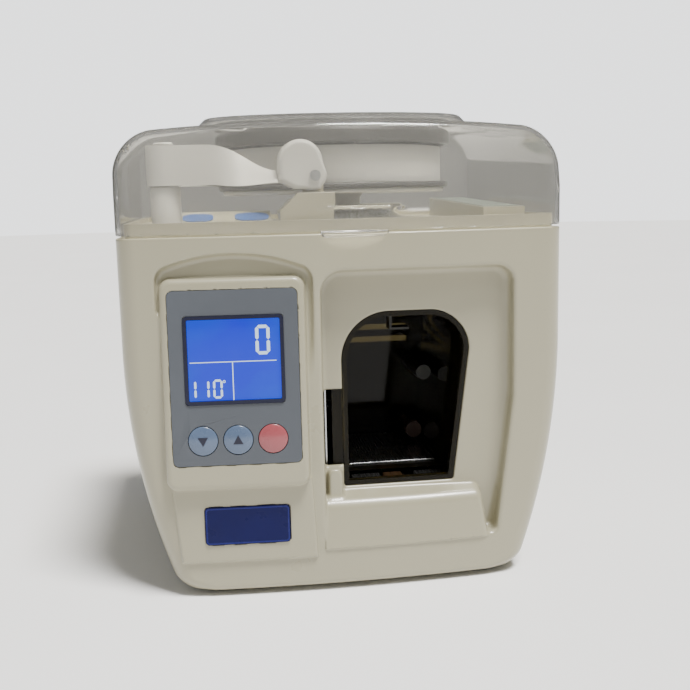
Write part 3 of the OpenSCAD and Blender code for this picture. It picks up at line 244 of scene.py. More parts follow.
def net(name, field, lo, hi, cell):
    """Mesh object of the surface where the field, in local millimetres, is zero, with true normals."""
    n = [int(math.ceil((b - a) / cell)) + 1 for a, b in zip(lo, hi)]
    axes = [a + cell * np.arange(k) for a, k in zip(lo, n)]
    v = np.empty(n, np.float32)
    step = 48
    for i in range(0, n[0], step):
        x, y, z = np.meshgrid(axes[0][i:i + step], axes[1], axes[2], indexing="ij")
        v[i:i + step] = field(x, y, z)
    inside = v < 0
    cells = [k - 1 for k in n]
    ids, spots, edges = [], [], []
    for axis in range(3):
        a = [slice(None)] * 3
        b = [slice(None)] * 3
        a[axis], b[axis] = slice(0, -1), slice(1, None)
        ia, ib = inside[tuple(a)], inside[tuple(b)]
        at = np.argwhere(ia != ib)
        va, vb = v[tuple(a)][tuple(at.T)], v[tuple(b)][tuple(at.T)]
        p = at.astype(float)
        p[:, axis] += va / (va - vb)
        u, w = (axis + 1) % 3, (axis + 2) % 3
        four, good = [], np.ones(len(at), bool)
        for du, dw in ((0, 0), (1, 0), (1, 1), (0, 1)):
            c = at.copy()
            c[:, u] -= du
            c[:, w] -= dw
            ok = (c[:, u] >= 0) & (c[:, w] >= 0) & (c[:, u] < cells[u]) & (c[:, w] < cells[w])
            flat = (c[:, 0] * cells[1] + c[:, 1]) * cells[2] + c[:, 2]
            ids.append(flat[ok])
            spots.append(p[ok])
            four.append(flat)
            good &= ok
        quad = np.stack(four, 1)[good]
        flip = ~ia[tuple(at.T)][good]
        quad[flip] = quad[flip][:, ::-1]
        edges.append(quad)
    ids, spots = np.concatenate(ids), np.concatenate(spots)
    keys, place = np.unique(ids, return_inverse=True)
    count = np.bincount(place)
    verts = np.stack([np.bincount(place, spots[:, k]) / count for k in range(3)], 1)
    verts = verts * cell + np.array(lo, float)
    faces = np.searchsorted(keys, np.concatenate(edges))
    h = cell * 0.18

    def gradient(p):
        g = np.empty_like(p)
        for k in range(3):
            e = np.zeros(3)
            e[k] = h
            g[:, k] = (field(*(p + e).T) - field(*(p - e).T)) / (2 * h)
        return g

    for _ in range(2):
        g = gradient(verts)
        d = field(*verts.T)
        move = (d / np.maximum((g * g).sum(1), 0.05))[:, None] * g
        far = np.linalg.norm(move, axis=1)
        move *= np.minimum(1, 0.5 * cell / np.maximum(far, 1e-9))[:, None]
        verts = verts - move
    g = gradient(verts)
    normals = g / np.maximum(np.linalg.norm(g, axis=1), 1e-6)[:, None]
    return mesh_object(name, verts, faces, normals)


def mesh_object(name, verts, faces, normals=None):
    """Object from local millimetres."""
    me = bpy.data.meshes.new(name)
    co = (np.asarray(verts, float) + F.shift) * 0.001
    if isinstance(faces, np.ndarray):
        me.vertices.add(len(co))
        me.vertices.foreach_set("co", co.astype(np.float32).ravel())
        me.loops.add(faces.size)
        me.loops.foreach_set("vertex_index", faces.astype(np.int32).ravel())
        me.polygons.add(len(faces))
        me.polygons.foreach_set(
            "loop_start", (np.arange(len(faces)) * faces.shape[1]).astype(np.int32))
        me.update(calc_edges=True)
        me.validate()
    else:
        me.from_pydata([tuple(c) for c in co], [], faces)
        me.update()
    me.polygons.foreach_set("use_smooth", [True] * len(me.polygons))
    if normals is not None and len(me.vertices) == len(normals):
        me.normals_split_custom_set_from_vertices([tuple(x) for x in normals])
    ob = bpy.data.objects.new(name, me)
    bpy.context.scene.collection.objects.link(ob)
    return ob


SHARP = math.radians(50)     # turned pieces and the strap: edges above this angle stay sharp
SOFTENED = math.radians(40)  # plates and frame nodes: edges above this angle are rounded


def lathe(name, profile, place, segments):
    """Turned piece: profile points are (radius, height) in millimetres about Z, placed by a matrix."""
    points = np.array(profile, float)
    k = len(points)
    turns = 2 * math.pi * np.arange(segments) / segments
    verts = np.stack([
        np.outer(np.cos(turns), points[:, 0]).ravel(), np.outer(np.sin(turns), points[:, 0]).ravel(),
        np.tile(points[:, 1], segments)], 1)
    matrix = np.array(place)
    verts = verts @ matrix[:3, :3].T + matrix[:3, 3]
    faces = []
    for i in range(segments):
        j = (i + 1) % segments
        for m in range(k):
            n = (m + 1) % k
            if points[m][0] < 1e-9 and points[n][0] < 1e-9:
                continue
            faces.append((i * k + m, j * k + m, j * k + n, i * k + n))
    ob = mesh_object(name, verts, faces)
    clean(ob)
    ob.data.set_sharp_from_angle(angle=SHARP)
    return ob


def clean(ob):
    """Joins doubled points and turns the faces outwards."""
    bm = bmesh.new()
    bm.from_mesh(ob.data)
    bmesh.ops.remove_doubles(bm, verts=bm.verts, dist=1e-7)
    bmesh.ops.dissolve_degenerate(bm, edges=bm.edges, dist=1e-8)
    bmesh.ops.recalc_face_normals(bm, faces=bm.faces)
    bm.to_mesh(ob.data)
    bm.free()
    ob.data.polygons.foreach_set("use_smooth", [True] * len(ob.data.polygons))


def turned_profile(r1, r2, z1, z2, edge, steps=4):
    """Closed profile of a ring or a disc with round edges."""
    out = []
    corners = [(r2, z1, 0), (r2, z2, 1), (r1, z2, 2), (r1, z1, 3)]
    for r, z, q in corners:
        e = edge if r > 0 else 0
        if e == 0:
            out.append((r, z))
            continue
        cr = r - e if q in (0, 1) else r + e
        cz = z + e if q in (0, 3) else z - e
        for i in range(steps + 1):
            a = math.radians(-90 + 90 * q + 90 * i / steps)
            out.append((cr + e * math.cos(a), cz + e * math.sin(a)))
    return out


def plate(name, outline, thickness, place, edge=0.0002, holes=()):
    """Flat piece: an outline in millimetres, extruded along its own Z, then placed by a matrix."""
    curve = bpy.data.curves.new(name, "CURVE")
    curve.dimensions = "2D"
    curve.fill_mode = "BOTH"
    for loop in [outline, *holes]:
        s = curve.splines.new("POLY")
        s.points.add(len(loop) - 1)
        for p, q in zip(s.points, loop):
            p.co = (q[0], q[1], 0, 1)
        s.use_cyclic_u = True
    curve.extrude = thickness / 2
    temp = bpy.data.objects.new(name, curve)
    bpy.context.scene.collection.objects.link(temp)
    me = bpy.data.meshes.new_from_object(temp)
    bpy.data.objects.remove(temp)
    bpy.data.curves.remove(curve)
    me.name = name
    lift = Matrix.Translation((0, 0, thickness / 2))
    scale = Matrix.Scale(0.001, 4) @ Matrix.Translation(Vector(F.shift))
    me.transform(scale @ place @ lift)
    ob = bpy.data.objects.new(name, me)
    bpy.context.scene.collection.objects.link(ob)
    clean(ob)
    if edge:
        soften(ob, edge)
    else:
        me.set_sharp_from_angle(angle=SOFTENED)
    return ob


def soften(ob, width, weld=False):
    """Rounds the edges that are sharper than an angle, with a modifier."""
    if weld:
        old = ob.data.attributes.get("custom_normal")
        if old is not None:
            ob.data.attributes.remove(old)
        m = ob.modifiers.new("Weld", "WELD")
        m.merge_threshold = 0.000002
    m = ob.modifiers.new("Edges", "BEVEL")
    m.width = width
    m.segments = 2
    m.limit_method = "ANGLE"
    m.angle_limit = SOFTENED
    m.harden_normals = True
    ob.data.polygons.foreach_set("use_smooth", [True] * len(ob.data.polygons))
    return ob


def round_loop(w, h, r, cx=0.0, cy=0.0, steps=6):
    out = []
    for sx, sy, a0 in ((1, 1, 0), (-1, 1, 90), (-1, -1, 180), (1, -1, 270)):
        for i in range(steps + 1):
            a = math.radians(a0 + 90 * i / steps)
            out.append((cx + sx * (w / 2 - r) + r * math.cos(a), cy + sy * (h / 2 - r) + r * math.sin(a)))
    return out


def circle_loop(r, cx=0.0, cy=0.0, steps=64):
    return [(cx + r * math.cos(2 * math.pi * i / steps), cy + r * math.sin(2 * math.pi * i / steps))
            for i in range(steps)]


def finish_piece(ob, body, material, slot, *nodes):
    """Gives the piece its material and its body, and lets it stand for frame nodes, which it hides; the slot
    is not used.
    """
    ob.data.materials.clear()
    ob.data.materials.append(material)
    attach(ob, body)
    if nodes:
        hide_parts(*nodes)
    return ob


# ------------------------------------------------------------------ shapes of the case

def mm(value):
    return value * 1000


def outer_case(x, y, z):
    """The case's outer faces: sides that curve in below, bowed front, round lower edges."""
    c = bpy.context.scene.strapper_case
    side_r, bow_r = mm(c.side_r), mm(c.bow_r)
    side = np.hypot(np.abs(x) + side_r - F.half_w, np.minimum(z - mm(c.side_z), 0)) - side_r
    front = np.hypot(x, y - bow_r) - bow_r
    d = round_max(round_max(side, front, mm(c.edge_r)), y - F.case_d, mm(c.edge_r))
    heel = mm(c.sole_r) + mm(c.heel_r - c.sole_r) * smooth((np.abs(x) - 72) / 20)
    return round_max(d, -z, heel)


def base_opening(x, y, z):
    lo, hi = F.local("base_plate")
    return brick(x, y, z, [lo[0] + 3, lo[1] + 3, -5], [hi[0] - 3, hi[1] - 3, 6])


def console_axes(x, y, z):
    """Coordinates across the console, up along its face, and out of it."""
    c = bpy.context.scene.strapper_console
    s, k = math.sin(c.yaw), math.cos(c.yaw)
    qx, qy, qz = x - CONSOLE["x"], y + CONSOLE["out"], z - CONSOLE["z"]
    u, b = qx * k - qy * s, qx * s + qy * k
    s, k = math.sin(c.tilt), math.cos(c.tilt)
    return u, b * s + qz * k, -b * k + qz * s


def console_matrix(u=0.0, v=0.0, n=0.0):
    """Placement of a piece that lies on the console."""
    c = bpy.context.scene.strapper_console
    return (Matrix.Translation((CONSOLE["x"], -CONSOLE["out"], CONSOLE["z"]))
            @ Matrix.Rotation(-c.yaw, 4, "Z") @ Matrix.Rotation(math.pi / 2 - c.tilt, 4, "X")
            @ Matrix.Translation((u, v, n)))


# The front's pieces in local millimetres. A console piece's v runs up from the console's foot.
CONSOLE = {"x": -60.8, "z": 58.0, "out": 5.0, "w": 74.0, "h": 109.0, "skin": 5.0}
OVERLAY = {"w": 66.0, "h": 90.0, "v": 13.0, "r": 3.0, "t": 1.0}
DISPLAY = {"w": 51.0, "h": 45.5, "v": 44.5, "rim": 2.0}
BUTTON = {"d": 15.0, "u": 0.5, "v": 26.0, "pitch": 17.9, "out": 1.6}
BADGE = {"x": -57.0, "z": 37.0, "w": 44.5, "h": 20.5, "out": 1.8, "seat": 0.8}
RECESS = {"x1": -15.1, "x2": 88.4, "x3": 79.0, "z1": 22.0, "z2": 168.0, "knee": 98.0}
MOUTH = {"x1": -3.5, "x2": 57.4, "x3": 66.6, "z1": 50.0, "z2": 145.0, "r1": 26.0, "r2": 22.0}


def badge_place():
    """Turn of the name plate on the bowed front, and the depth of its middle."""
    bow = mm(bpy.context.scene.strapper_case.bow_r)
    return math.asin(BADGE["x"] / bow), bow - math.sqrt(bow * bow - BADGE["x"] ** 2) - BADGE["out"]


def badge_axes(x, y, z):
    a, oy = badge_place()
    qx, qy = x - BADGE["x"], y - oy
    return (qx * math.cos(a) + qy * math.sin(a), z - BADGE["z"],
            qx * math.sin(a) - qy * math.cos(a))


def badge_matrix(n=0.0):
    a, oy = badge_place()
    return (Matrix.Translation((BADGE["x"], oy, BADGE["z"])) @ Matrix.Rotation(a, 4, "Z")
            @ Matrix.Rotation(math.pi / 2, 4, "X") @ Matrix.Translation((0, 0, n)))


def recess_outline(x, z):
    r = RECESS
    left, top, low = r["x1"] - x, z - r["z2"], r["z1"] - z
    right = np.maximum(slope(x, z, (r["x3"], r["z1"]), (r["x2"], r["knee"])), x - r["x2"])
    return round_max(np.maximum(round_max(left, top, 12.0), round_max(right, top, 9.0)), low, 3.0)


def mouth_outline(x, z):
    m = MOUTH
    left, top, low = m["x1"] - x, z - m["z2"], m["z1"] - z
    right = np.maximum(slope(x, z, (m["x2"], m["z1"]), (m["x3"], m["z2"] - m["r2"])), x - m["x3"])
    d = np.maximum(round_max(left, top, m["r1"]), round_max(right, top, m["r2"]))
    return round_max(d, low, 1.5)


def ledge(x, y, z):
    c = bpy.context.scene.strapper_case
    b = y - 0.9 * x * x / (2 * mm(c.bow_r))
    front = slope(b, z, (3.0, 45.0), (-0.9, 21.0))
    top = slope(b, z, (14.0, 48.5), (4.0, 45.0))
    right = slope(x, z, (74.4, 21.0), (71.0, 47.0))
    d = round_max(round_max(front, top, mm(c.ledge_edge)), right, 3.6)
    return np.maximum(d, np.maximum(y - 15.5, np.maximum(RECESS["x1"] - 1 - x, 20.5 - z)))


def scoop(u, v, n, grow=0.0):
    """The space above and beside the console, under its arch."""
    c = bpy.context.scene.strapper_console
    arch = np.hypot(u, v - 23.0) - 98.0
    sides = np.maximum(-u - 38.6, u - 41.0)
    low = 89.0 - 46.0 * smooth((u - 18.0) / 12.0)
    outline = round_max(round_max(arch, sides, 5.0), low - v, 5.0) - grow
    floor = -mm(c.scoop_depth) + 2.4 * smooth((74.0 - v) / 30.0) - grow
    return round_max(outline, floor - n, mm(c.scoop_fillet))


def front_shell(x, y, z):
    c = bpy.context.scene.strapper_case
    k = bpy.context.scene.strapper_console
    case = outer_case(x, y, z)
    u, v, n = console_axes(x, y, z)
    wall = np.maximum(case, -(case + mm(c.wall)))
    depth = mm(c.recess_depth)
    backing = brick(x, y, z, [RECESS["x1"] - 2.5, 0.5, RECESS["z1"] - 2.5],
                    [RECESS["x2"] + 2.5, depth + 3, RECESS["z2"] + 2.5])
    wall = np.minimum(wall, np.maximum(backing, case))
    wall = np.minimum(wall, np.maximum(np.maximum(scoop(u, v, n, 2.5), n - 6), case))
    cut = round_max(recess_outline(x, z), y - depth, mm(c.recess_fillet))
    d = round_max(wall, -cut, mm(c.recess_rim))
    d = round_max(d, -scoop(u, v, n), 1.2)
    pod = round_max(rect(u, v - CONSOLE["h"] / 2, CONSOLE["w"] / 2, CONSOLE["h"] / 2, 6.0), n, mm(k.edge_r))
    pod = np.maximum(pod, -n - CONSOLE["skin"] - 4)
    plinth = np.maximum(
        np.maximum(-slope(x, z, (-92.0, 19.0), (-95.4, 56.5)), 17.0 - z),
        np.maximum(slope(x, z, (-20.4, 19.0), (-22.2, 56.5)), z - 61.0))
    plinth = round_max(plinth, case - BADGE["out"], 1.2)
    d = round_min(d, np.maximum(plinth, y - 6), 0.8)
    d = round_min(d, pod, 1.4)
    d = round_min(d, ledge(x, y, z), 1.2)
    nub = np.hypot(x + 9.0, np.maximum(z - 58.0, 0)) - 4.0
    nub = round_max(np.maximum(nub, 43.0 - z), 7.0 - y, 1.8)
    d = round_min(d, np.maximum(nub, y - 15), 2.2)
    hollow = np.maximum(np.maximum(np.abs(u) - 34.5, np.abs(v - CONSOLE["h"] / 2) - 51.5),
                        np.maximum(n + CONSOLE["skin"], -n - 40))
    d = np.maximum(d, -hollow)
    seat = rect(u, v - OVERLAY["v"] - OVERLAY["h"] / 2, OVERLAY["w"] / 2, OVERLAY["h"] / 2, OVERLAY["r"])
    d = np.maximum(d, -np.maximum(seat, -n - OVERLAY["t"]))
    holes = rect(u, v - DISPLAY["v"] - DISPLAY["h"] / 2, DISPLAY["w"] / 2 - 1, DISPLAY["h"] / 2 - 1, 1.0)
    for i in (-1, 0, 1):
        holes = np.minimum(holes, np.hypot(u - BUTTON["u"] - i * BUTTON["pitch"], v - BUTTON["v"]) - 7.8)
    d = np.maximum(d, -np.maximum(holes, -n - 20))
    a, b, e = badge_axes(x, y, z)
    d = np.maximum(d, -np.maximum(rect(a, b, BADGE["w"] / 2, BADGE["h"] / 2, 2.0), -e - BADGE["seat"]))
    mouth = np.maximum(mouth_outline(x, z), 5 - y)
    notch = np.maximum(rect(x + 8.3, z - 83.0, 5.8, 21.0, 2.5), 5 - y)
    d = round_max(d, -np.minimum(mouth, notch), 0.9)
    d = np.maximum(d, -base_opening(x, y, z))
    return round_max(round_max(d, z - F.case_h, 0.7), y - F.seam_y, 0.35)


def rear_shell(x, y, z):
    c = bpy.context.scene.strapper_case
    case = outer_case(x, y, z)
    d = np.maximum(case, -(case + mm(c.wall)))
    lo, hi = F.local("power_inlet")
    at = (lo + hi) / 2
    back = F.case_d - 20
    holes = np.maximum(np.maximum(np.abs(x - at[0]) - 14.2, np.abs(z - at[2]) - 10.2), back - y)
    at = F.middle("switch_housing")
    holes = np.minimum(holes, np.maximum(
        np.maximum(np.abs(x - at[0]) - 9.7, np.abs(z - at[2]) - 7), back - y))
    at = F.middle("fuse_holder")
    holes = np.minimum(holes, np.maximum(np.hypot(x - at[0], z - at[2]) - 6.2, back - y))
    first = F.case_h - 87.3
    for i in range(7):
        slot = rect(x, z - first - 2 - 9 * i, 70.0, 2.0, 1.0)
        holes = np.minimum(holes, np.maximum(slot, back - y))
    d = round_max(d, -holes, 0.5)
    d = np.maximum(d, -base_opening(x, y, z))
    return round_max(round_max(d, z - F.case_h, 0.7), F.seam_y - y, 0.35)


# ------------------------------------------------------------------ shape of the cover

COVER_TILT = math.radians(2.6)  # rise of the cover's top from front to rear


def cover_solid(x, y, z, inset):
    c = bpy.context.scene.strapper_case
    k = bpy.context.scene.strapper_cover
    bow_r = mm(c.bow_r)
    hi = COVER["front_top"]
    side = np.abs(x) - F.half_w + inset
    front = np.hypot(x, y - bow_r) - bow_r + inset
    broken = mm(k.break_z) - x * x / 4480
    angle = math.atan2(mm(k.lean), hi - mm(k.break_z))
    lean = (y - x * x / (2 * bow_r) - (z - broken) * math.tan(angle)) * -math.cos(angle) + inset
    front = round_max(front, lean, 4.0)
    top = (z - (hi + (y - mm(k.lean)) * math.tan(COVER_TILT) - x * x / 2600)) * 0.999 + inset
    corner = max(mm(k.corner_r) - inset, 3)
    d = round_max(side, top, corner)
    edge = (mm(k.front_r) if inset == 0 else 1.0) + 6 * smooth((np.abs(x) - 60) / 45)
    up = smooth((z - broken + 4) / 10)
    edge = edge * up + (mm(c.edge_r) - inset) * (1 - up)
    d = round_max(d, front, np.maximum(edge, 1.0))
    d = round_max(d, y - F.case_d + inset, max(7 - inset, 3))
    return d


def dome(x, y, z, inset):
    cx, cy = COVER["dome"]
    base = COVER["front_top"] + (cy - 7) * math.tan(COVER_TILT)
    s, k = math.sin(COVER_TILT), math.cos(COVER_TILT)
    b, h = (y - cy) * k + (z - base) * s, -(y - cy) * s + (z - base) * k
    r = np.hypot(x - cx, b)
    side = (r - 75.0 - (COVER["dome_h"] - h)) * 0.7071 + inset
    return round_max(np.maximum(side, -h - 9), h - COVER["dome_h"] + inset, 1.4)


def cover(x, y, z):
    k = bpy.context.scene.strapper_cover
    t = mm(k.thickness)
    outer = round_min(cover_solid(x, y, z, 0), dome(x, y, z, 0), 2.5)
    inner = round_min(cover_solid(x, y, z, t), dome(x, y, z, t), 2.5)
    d = np.maximum(outer, -inner)
    d = round_max(d, COVER["low"] - z, 0.5)
    tab_w, tab_out, tab_z = 41, 4.6, COVER["low"] + 4.5
    tab_r = (tab_w * tab_w / 4 + tab_out * tab_out) / (2 * tab_out)
    tab = np.sqrt((x - COVER["tab"]) ** 2 + (y - tab_r + tab_out) ** 2 + (z - tab_z) ** 2) - tab_r
    tab = round_max(tab, np.abs(z - tab_z) - 7.5, 1.2)
    tab = np.maximum(tab, np.maximum(y - 3, -inner))
    d = round_min(d, tab, 0.8)
    d = np.maximum(d, -np.maximum(np.hypot(x, y - 900) - 900 - 0.5, z - COVER["low"] + 0.05))
    hy, hz = COVER["hinge"]
    rear = np.maximum(196 - y, z - COVER["low"] - 1.8)
    d = round_max(d, -rear, 0.4)
    for s in (-1, 1):
        for q in (-1, 1):
            cx = s * COVER["hinge_x"] + q * 10.8
            cut = np.maximum(np.abs(x - cx) - 2.8, np.maximum(188 - y, z - COVER["low"] - 7.9))
            d = np.maximum(d, -cut)
        barrel = np.maximum(np.hypot(y - hy, z - hz) - 3.5, np.abs(x - s * COVER["hinge_x"]) - 8)
        d = round_min(d, barrel, 0.3)
    return d


def cover_numbers():
    pins = F.middle("hinge_pins")
    low = F.case_h + 1.2
    reel = F.middle("reel_cap")
    span = F.local("hinge_pins")
    return {"low": low, "front_top": low + 56.0, "dome": (reel[0], reel[1]), "dome_h": 4.0, "tab": 3.0,
            "hinge": (pins[1], pins[2]), "hinge_x": (span[1][0] - span[0][0]) / 2 - 13.3}


COVER = cover_numbers()


# ------------------------------------------------------------------ materials

def new_group(name, inputs, outputs):
    tree = bpy.data.node_groups.new(name, "ShaderNodeTree")
    for label, kind, default in inputs:
        s = tree.interface.new_socket(name=label, in_out="INPUT", socket_type="NodeSocket" + kind)
        s.default_value = default
    for label, kind in outputs:
        tree.interface.new_socket(name=label, in_out="OUTPUT", socket_type="NodeSocket" + kind)
    return tree, tree.nodes.new("NodeGroupInput"), tree.nodes.new("NodeGroupOutput")


def add(tree, kind, **values):
    node = tree.nodes.new("ShaderNode" + kind)
    for key, value in values.items():
        if hasattr(node, key):
            setattr(node, key, value)
        else:
            node.inputs[key.replace("_", " ")].default_value = value
    return node


def noise(tree, scale, detail=3.0, vector=None):
    node = add(tree, "TexNoise", Detail=detail)
    if isinstance(scale, (int, float)):
        node.inputs["Scale"].default_value = scale
    else:
        tree.links.new(scale, node.inputs["Scale"])
    if vector is None:
        vector = add(tree, "TexCoord").outputs["Object"]
    tree.links.new(vector, node.inputs["Vector"])
    return node.outputs["Fac"]


def remap(tree, value, a, b, c, d):
    node = add(tree, "MapRange")
    tree.links.new(value, node.inputs["Value"])
    for key, x in zip(("From Min", "From Max", "To Min", "To Max"), (a, b, c, d)):
        if isinstance(x, (int, float)):
            node.inputs[key].default_value = x
        else:
            tree.links.new(x, node.inputs[key])
    return node.outputs["Result"]


def math_node(tree, operation, a, b):
    node = add(tree, "Math", operation=operation)
    for i, x in enumerate((a, b)):
        if isinstance(x, (int, float)):
            node.inputs[i].default_value = x
        else:
            tree.links.new(x, node.inputs[i])
    return node.outputs[0]


def mix_color(tree, factor, a, b):
    node = add(tree, "Mix", data_type="RGBA")
    tree.links.new(factor, node.inputs[0])
    tree.links.new(a, node.inputs[6])
    tree.links.new(b, node.inputs[7])
    return node.outputs[2]


def around(tree, value, amount):
    """The value less the amount, and the value plus the amount."""
    return math_node(tree, "SUBTRACT", value, amount), math_node(tree, "ADD", value, amount)


def from_centre(tree, centre, reach):
    """Length of the way from the centre, stretched along each axis."""
    away = add(tree, "VectorMath", operation="SUBTRACT")
    tree.links.new(add(tree, "TexCoord").outputs["Object"], away.inputs[0])
    tree.links.new(centre, away.inputs[1])
    scaled = add(tree, "VectorMath", operation="MULTIPLY")
    tree.links.new(away.outputs["Vector"], scaled.inputs[0])
    if isinstance(reach, tuple):
        scaled.inputs[1].default_value = reach
    else:
        tree.links.new(reach, scaled.inputs[1])
    size = add(tree, "VectorMath", operation="LENGTH")
    tree.links.new(scaled.outputs["Vector"], size.inputs[0])
    return size.outputs["Value"]


def group_tone():
    tree, i, o = new_group(
        "Strapper Tone",
        [("Color", "Color", (0.8, 0.8, 0.8, 1)), ("Scale", "Float", 20.0), ("Amount", "Float", 0.03)],
        [("Color", "Color")])
    low, high = around(tree, 1.0, i.outputs["Amount"])
    value = remap(tree, noise(tree, i.outputs["Scale"], 4.0), 0.3, 0.7, low, high)
    node = add(tree, "VectorMath", operation="SCALE")
    tree.links.new(i.outputs["Color"], node.inputs[0])
    tree.links.new(value, node.inputs["Scale"])
    tree.links.new(node.outputs["Vector"], o.inputs["Color"])
    return tree


def group_wear():
    tree, i, o = new_group(
        "Strapper Wear",
        [("Color", "Color", (0.8, 0.8, 0.8, 1)), ("Edge Color", "Color", (0.9, 0.9, 0.88, 1)),
         ("Amount", "Float", 0.3), ("Scale", "Float", 160.0)],
        [("Color", "Color")])
    edge = remap(tree, add(tree, "NewGeometry").outputs["Pointiness"], 0.52, 0.62, 0.0, i.outputs["Amount"])
    spots = remap(tree, noise(tree, i.outputs["Scale"]), 0.35, 0.65, 0.25, 1.0)
    factor = math_node(tree, "MULTIPLY", edge, spots)
    tree.links.new(mix_color(tree, factor, i.outputs["Color"], i.outputs["Edge Color"]), o.inputs["Color"])
    return tree


def group_dust():
    tree, i, o = new_group(
        "Strapper Dust",
        [("Color", "Color", (0.8, 0.8, 0.8, 1)), ("Dust Color", "Color", (0.62, 0.6, 0.55, 1)),
         ("Roughness", "Float", 0.4), ("Amount", "Float", 0.2), ("Scale", "Float", 90.0)],
        [("Color", "Color"), ("Roughness", "Float")])
    split = add(tree, "SeparateXYZ")
    tree.links.new(add(tree, "NewGeometry").outputs["Normal"], split.inputs[0])
    up = remap(tree, split.outputs["Z"], 0.45, 1.0, 0.0, i.outputs["Amount"])
    patches = remap(tree, noise(tree, i.outputs["Scale"], 5.0), 0.4, 0.7, 0.1, 1.0)
    factor = math_node(tree, "MULTIPLY", up, patches)
    tree.links.new(mix_color(tree, factor, i.outputs["Color"], i.outputs["Dust Color"]), o.inputs["Color"])
    rough = remap(tree, factor, 0.0, 1.0, i.outputs["Roughness"], 0.85)
    tree.links.new(rough, o.inputs["Roughness"])
    return tree


def group_grain():
    tree, i, o = new_group("Strapper Grain", [("Scale", "Float", 1500.0)], [("Height", "Float")])
    tree.links.new(noise(tree, i.outputs["Scale"], 2.0), o.inputs["Height"])
    return tree


def group_smudge():
    tree, i, o = new_group(
        "Strapper Smudge",
        [("Roughness", "Float", 0.3), ("Spread", "Float", 0.08), ("Scale", "Float", 40.0)],
        [("Roughness", "Float")])
    low, high = around(tree, i.outputs["Roughness"], i.outputs["Spread"])
    rough = remap(tree, noise(tree, i.outputs["Scale"], 5.0), 0.3, 0.7, low, high)
    tree.links.new(rough, o.inputs["Roughness"])
    return tree


def group_brushed():
    tree, i, o = new_group(
        "Strapper Brushed",
        [("Stretch", "Vector", (900.0, 30.0, 900.0)), ("Roughness", "Float", 0.3), ("Spread", "Float", 0.1)],
        [("Roughness", "Float"), ("Height", "Float")])
    node = add(tree, "VectorMath", operation="MULTIPLY")
    tree.links.new(add(tree, "TexCoord").outputs["Object"], node.inputs[0])
    tree.links.new(i.outputs["Stretch"], node.inputs[1])
    value = noise(tree, 1.0, 3.0, node.outputs["Vector"])
    low, high = around(tree, i.outputs["Roughness"], i.outputs["Spread"])
    tree.links.new(remap(tree, value, 0.3, 0.7, low, high), o.inputs["Roughness"])
    tree.links.new(value, o.inputs["Height"])
    return tree


def group_layers():
    tree, i, o = new_group(
        "Strapper Layers",
        [("Color", "Color", (0.8, 0.8, 0.78, 1)), ("Gap Color", "Color", (0.5, 0.49, 0.46, 1)),
         ("Centre", "Vector", (0.0, 0.0, 0.0)), ("Scale", "Float", 2600.0), ("Amount", "Float", 0.4)],
        [("Color", "Color"), ("Height", "Float")])
    size = from_centre(tree, i.outputs["Centre"], (1, 1, 0))
    ring = add(tree, "TexNoise", noise_dimensions="1D", Detail=2.0)
    tree.links.new(math_node(tree, "MULTIPLY", size, i.outputs["Scale"]), ring.inputs["W"])
    ring.inputs["Scale"].default_value = 1.0
    value = remap(tree, ring.outputs["Fac"], 0.35, 0.65, 0.0, 1.0)
    tree.links.new(value, o.inputs["Height"])
    gap = math_node(tree, "MULTIPLY", math_node(tree, "SUBTRACT", 1.0, value), i.outputs["Amount"])
    tree.links.new(mix_color(tree, gap, i.outputs["Color"], i.outputs["Gap Color"]), o.inputs["Color"])
    return tree


def group_screen():
    tree, i, o = new_group(
        "Strapper Screen",
        [("Color", "Color", (0, 0.08, 1, 1)), ("Edge Color", "Color", (0, 0.25, 1, 1)),
         ("Centre", "Vector", (0, 0, 0)), ("Reach", "Vector", (40.0, 0.0, 44.0))],
        [("Color", "Color")])
    size = from_centre(tree, i.outputs["Centre"], i.outputs["Reach"])
    cloud = remap(tree, noise(tree, 70.0, 2.0), 0.3, 0.7, -0.18, 0.18)
    value = math_node(tree, "ADD", size, cloud)
    factor = remap(tree, value, 0.62, 1.3, 0.0, 1.0)
    tree.links.new(mix_color(tree, factor, i.outputs["Color"], i.outputs["Edge Color"]), o.inputs["Color"])
    return tree


GROUPS = {}


def make_groups():
    for key, build in (("tone", group_tone), ("wear", group_wear), ("dust", group_dust),
                       ("grain", group_grain), ("smudge", group_smudge), ("brushed", group_brushed),
                       ("layers", group_layers), ("screen", group_screen)):
        if key not in GROUPS:
            GROUPS[key] = build()


def use(tree, key, **values):
    """Places a shared group in a material, with its own values; a value may be another node's output."""
    node = tree.nodes.new("ShaderNodeGroup")
    node.node_tree = GROUPS[key]
    for label, value in values.items():
        socket = node.inputs[label.replace("_", " ")]
        if isinstance(value, bpy.types.NodeSocket):
            tree.links.new(value, socket)
        elif isinstance(value, tuple) and socket.type == "RGBA":
            socket.default_value = (*value[:3], 1)
        else:
            socket.default_value = value
    return node


MATERIALS = {}


def kept(build):
    """Makes a material once for each name."""
    def find(name, *looks, **more):
        if name not in MATERIALS:
            material = bpy.data.materials.new(name)
            material.use_nodes = True
            tree = material.node_tree
            build(tree, tree.nodes["Principled BSDF"], *looks, **more)
            MATERIALS[name] = material
        return MATERIALS[name]
    return find


def link_tone(t, b, color, scale, amount):
    color = use(t, "tone", Color=color, Scale=scale, Amount=amount).outputs["Color"]
    t.links.new(color, b.inputs["Base Color"])


def link_smudge(t, b, rough, spread, scale):
    rough = use(t, "smudge", Roughness=rough, Spread=spread, Scale=scale).outputs["Roughness"]
    t.links.new(rough, b.inputs["Roughness"])


def link_bump(t, b, height, strength, distance):
    bump = add(t, "Bump", Strength=strength, Distance=distance)
    t.links.new(height, bump.inputs["Height"])
    t.links.new(bump.outputs["Normal"], b.inputs["Normal"])


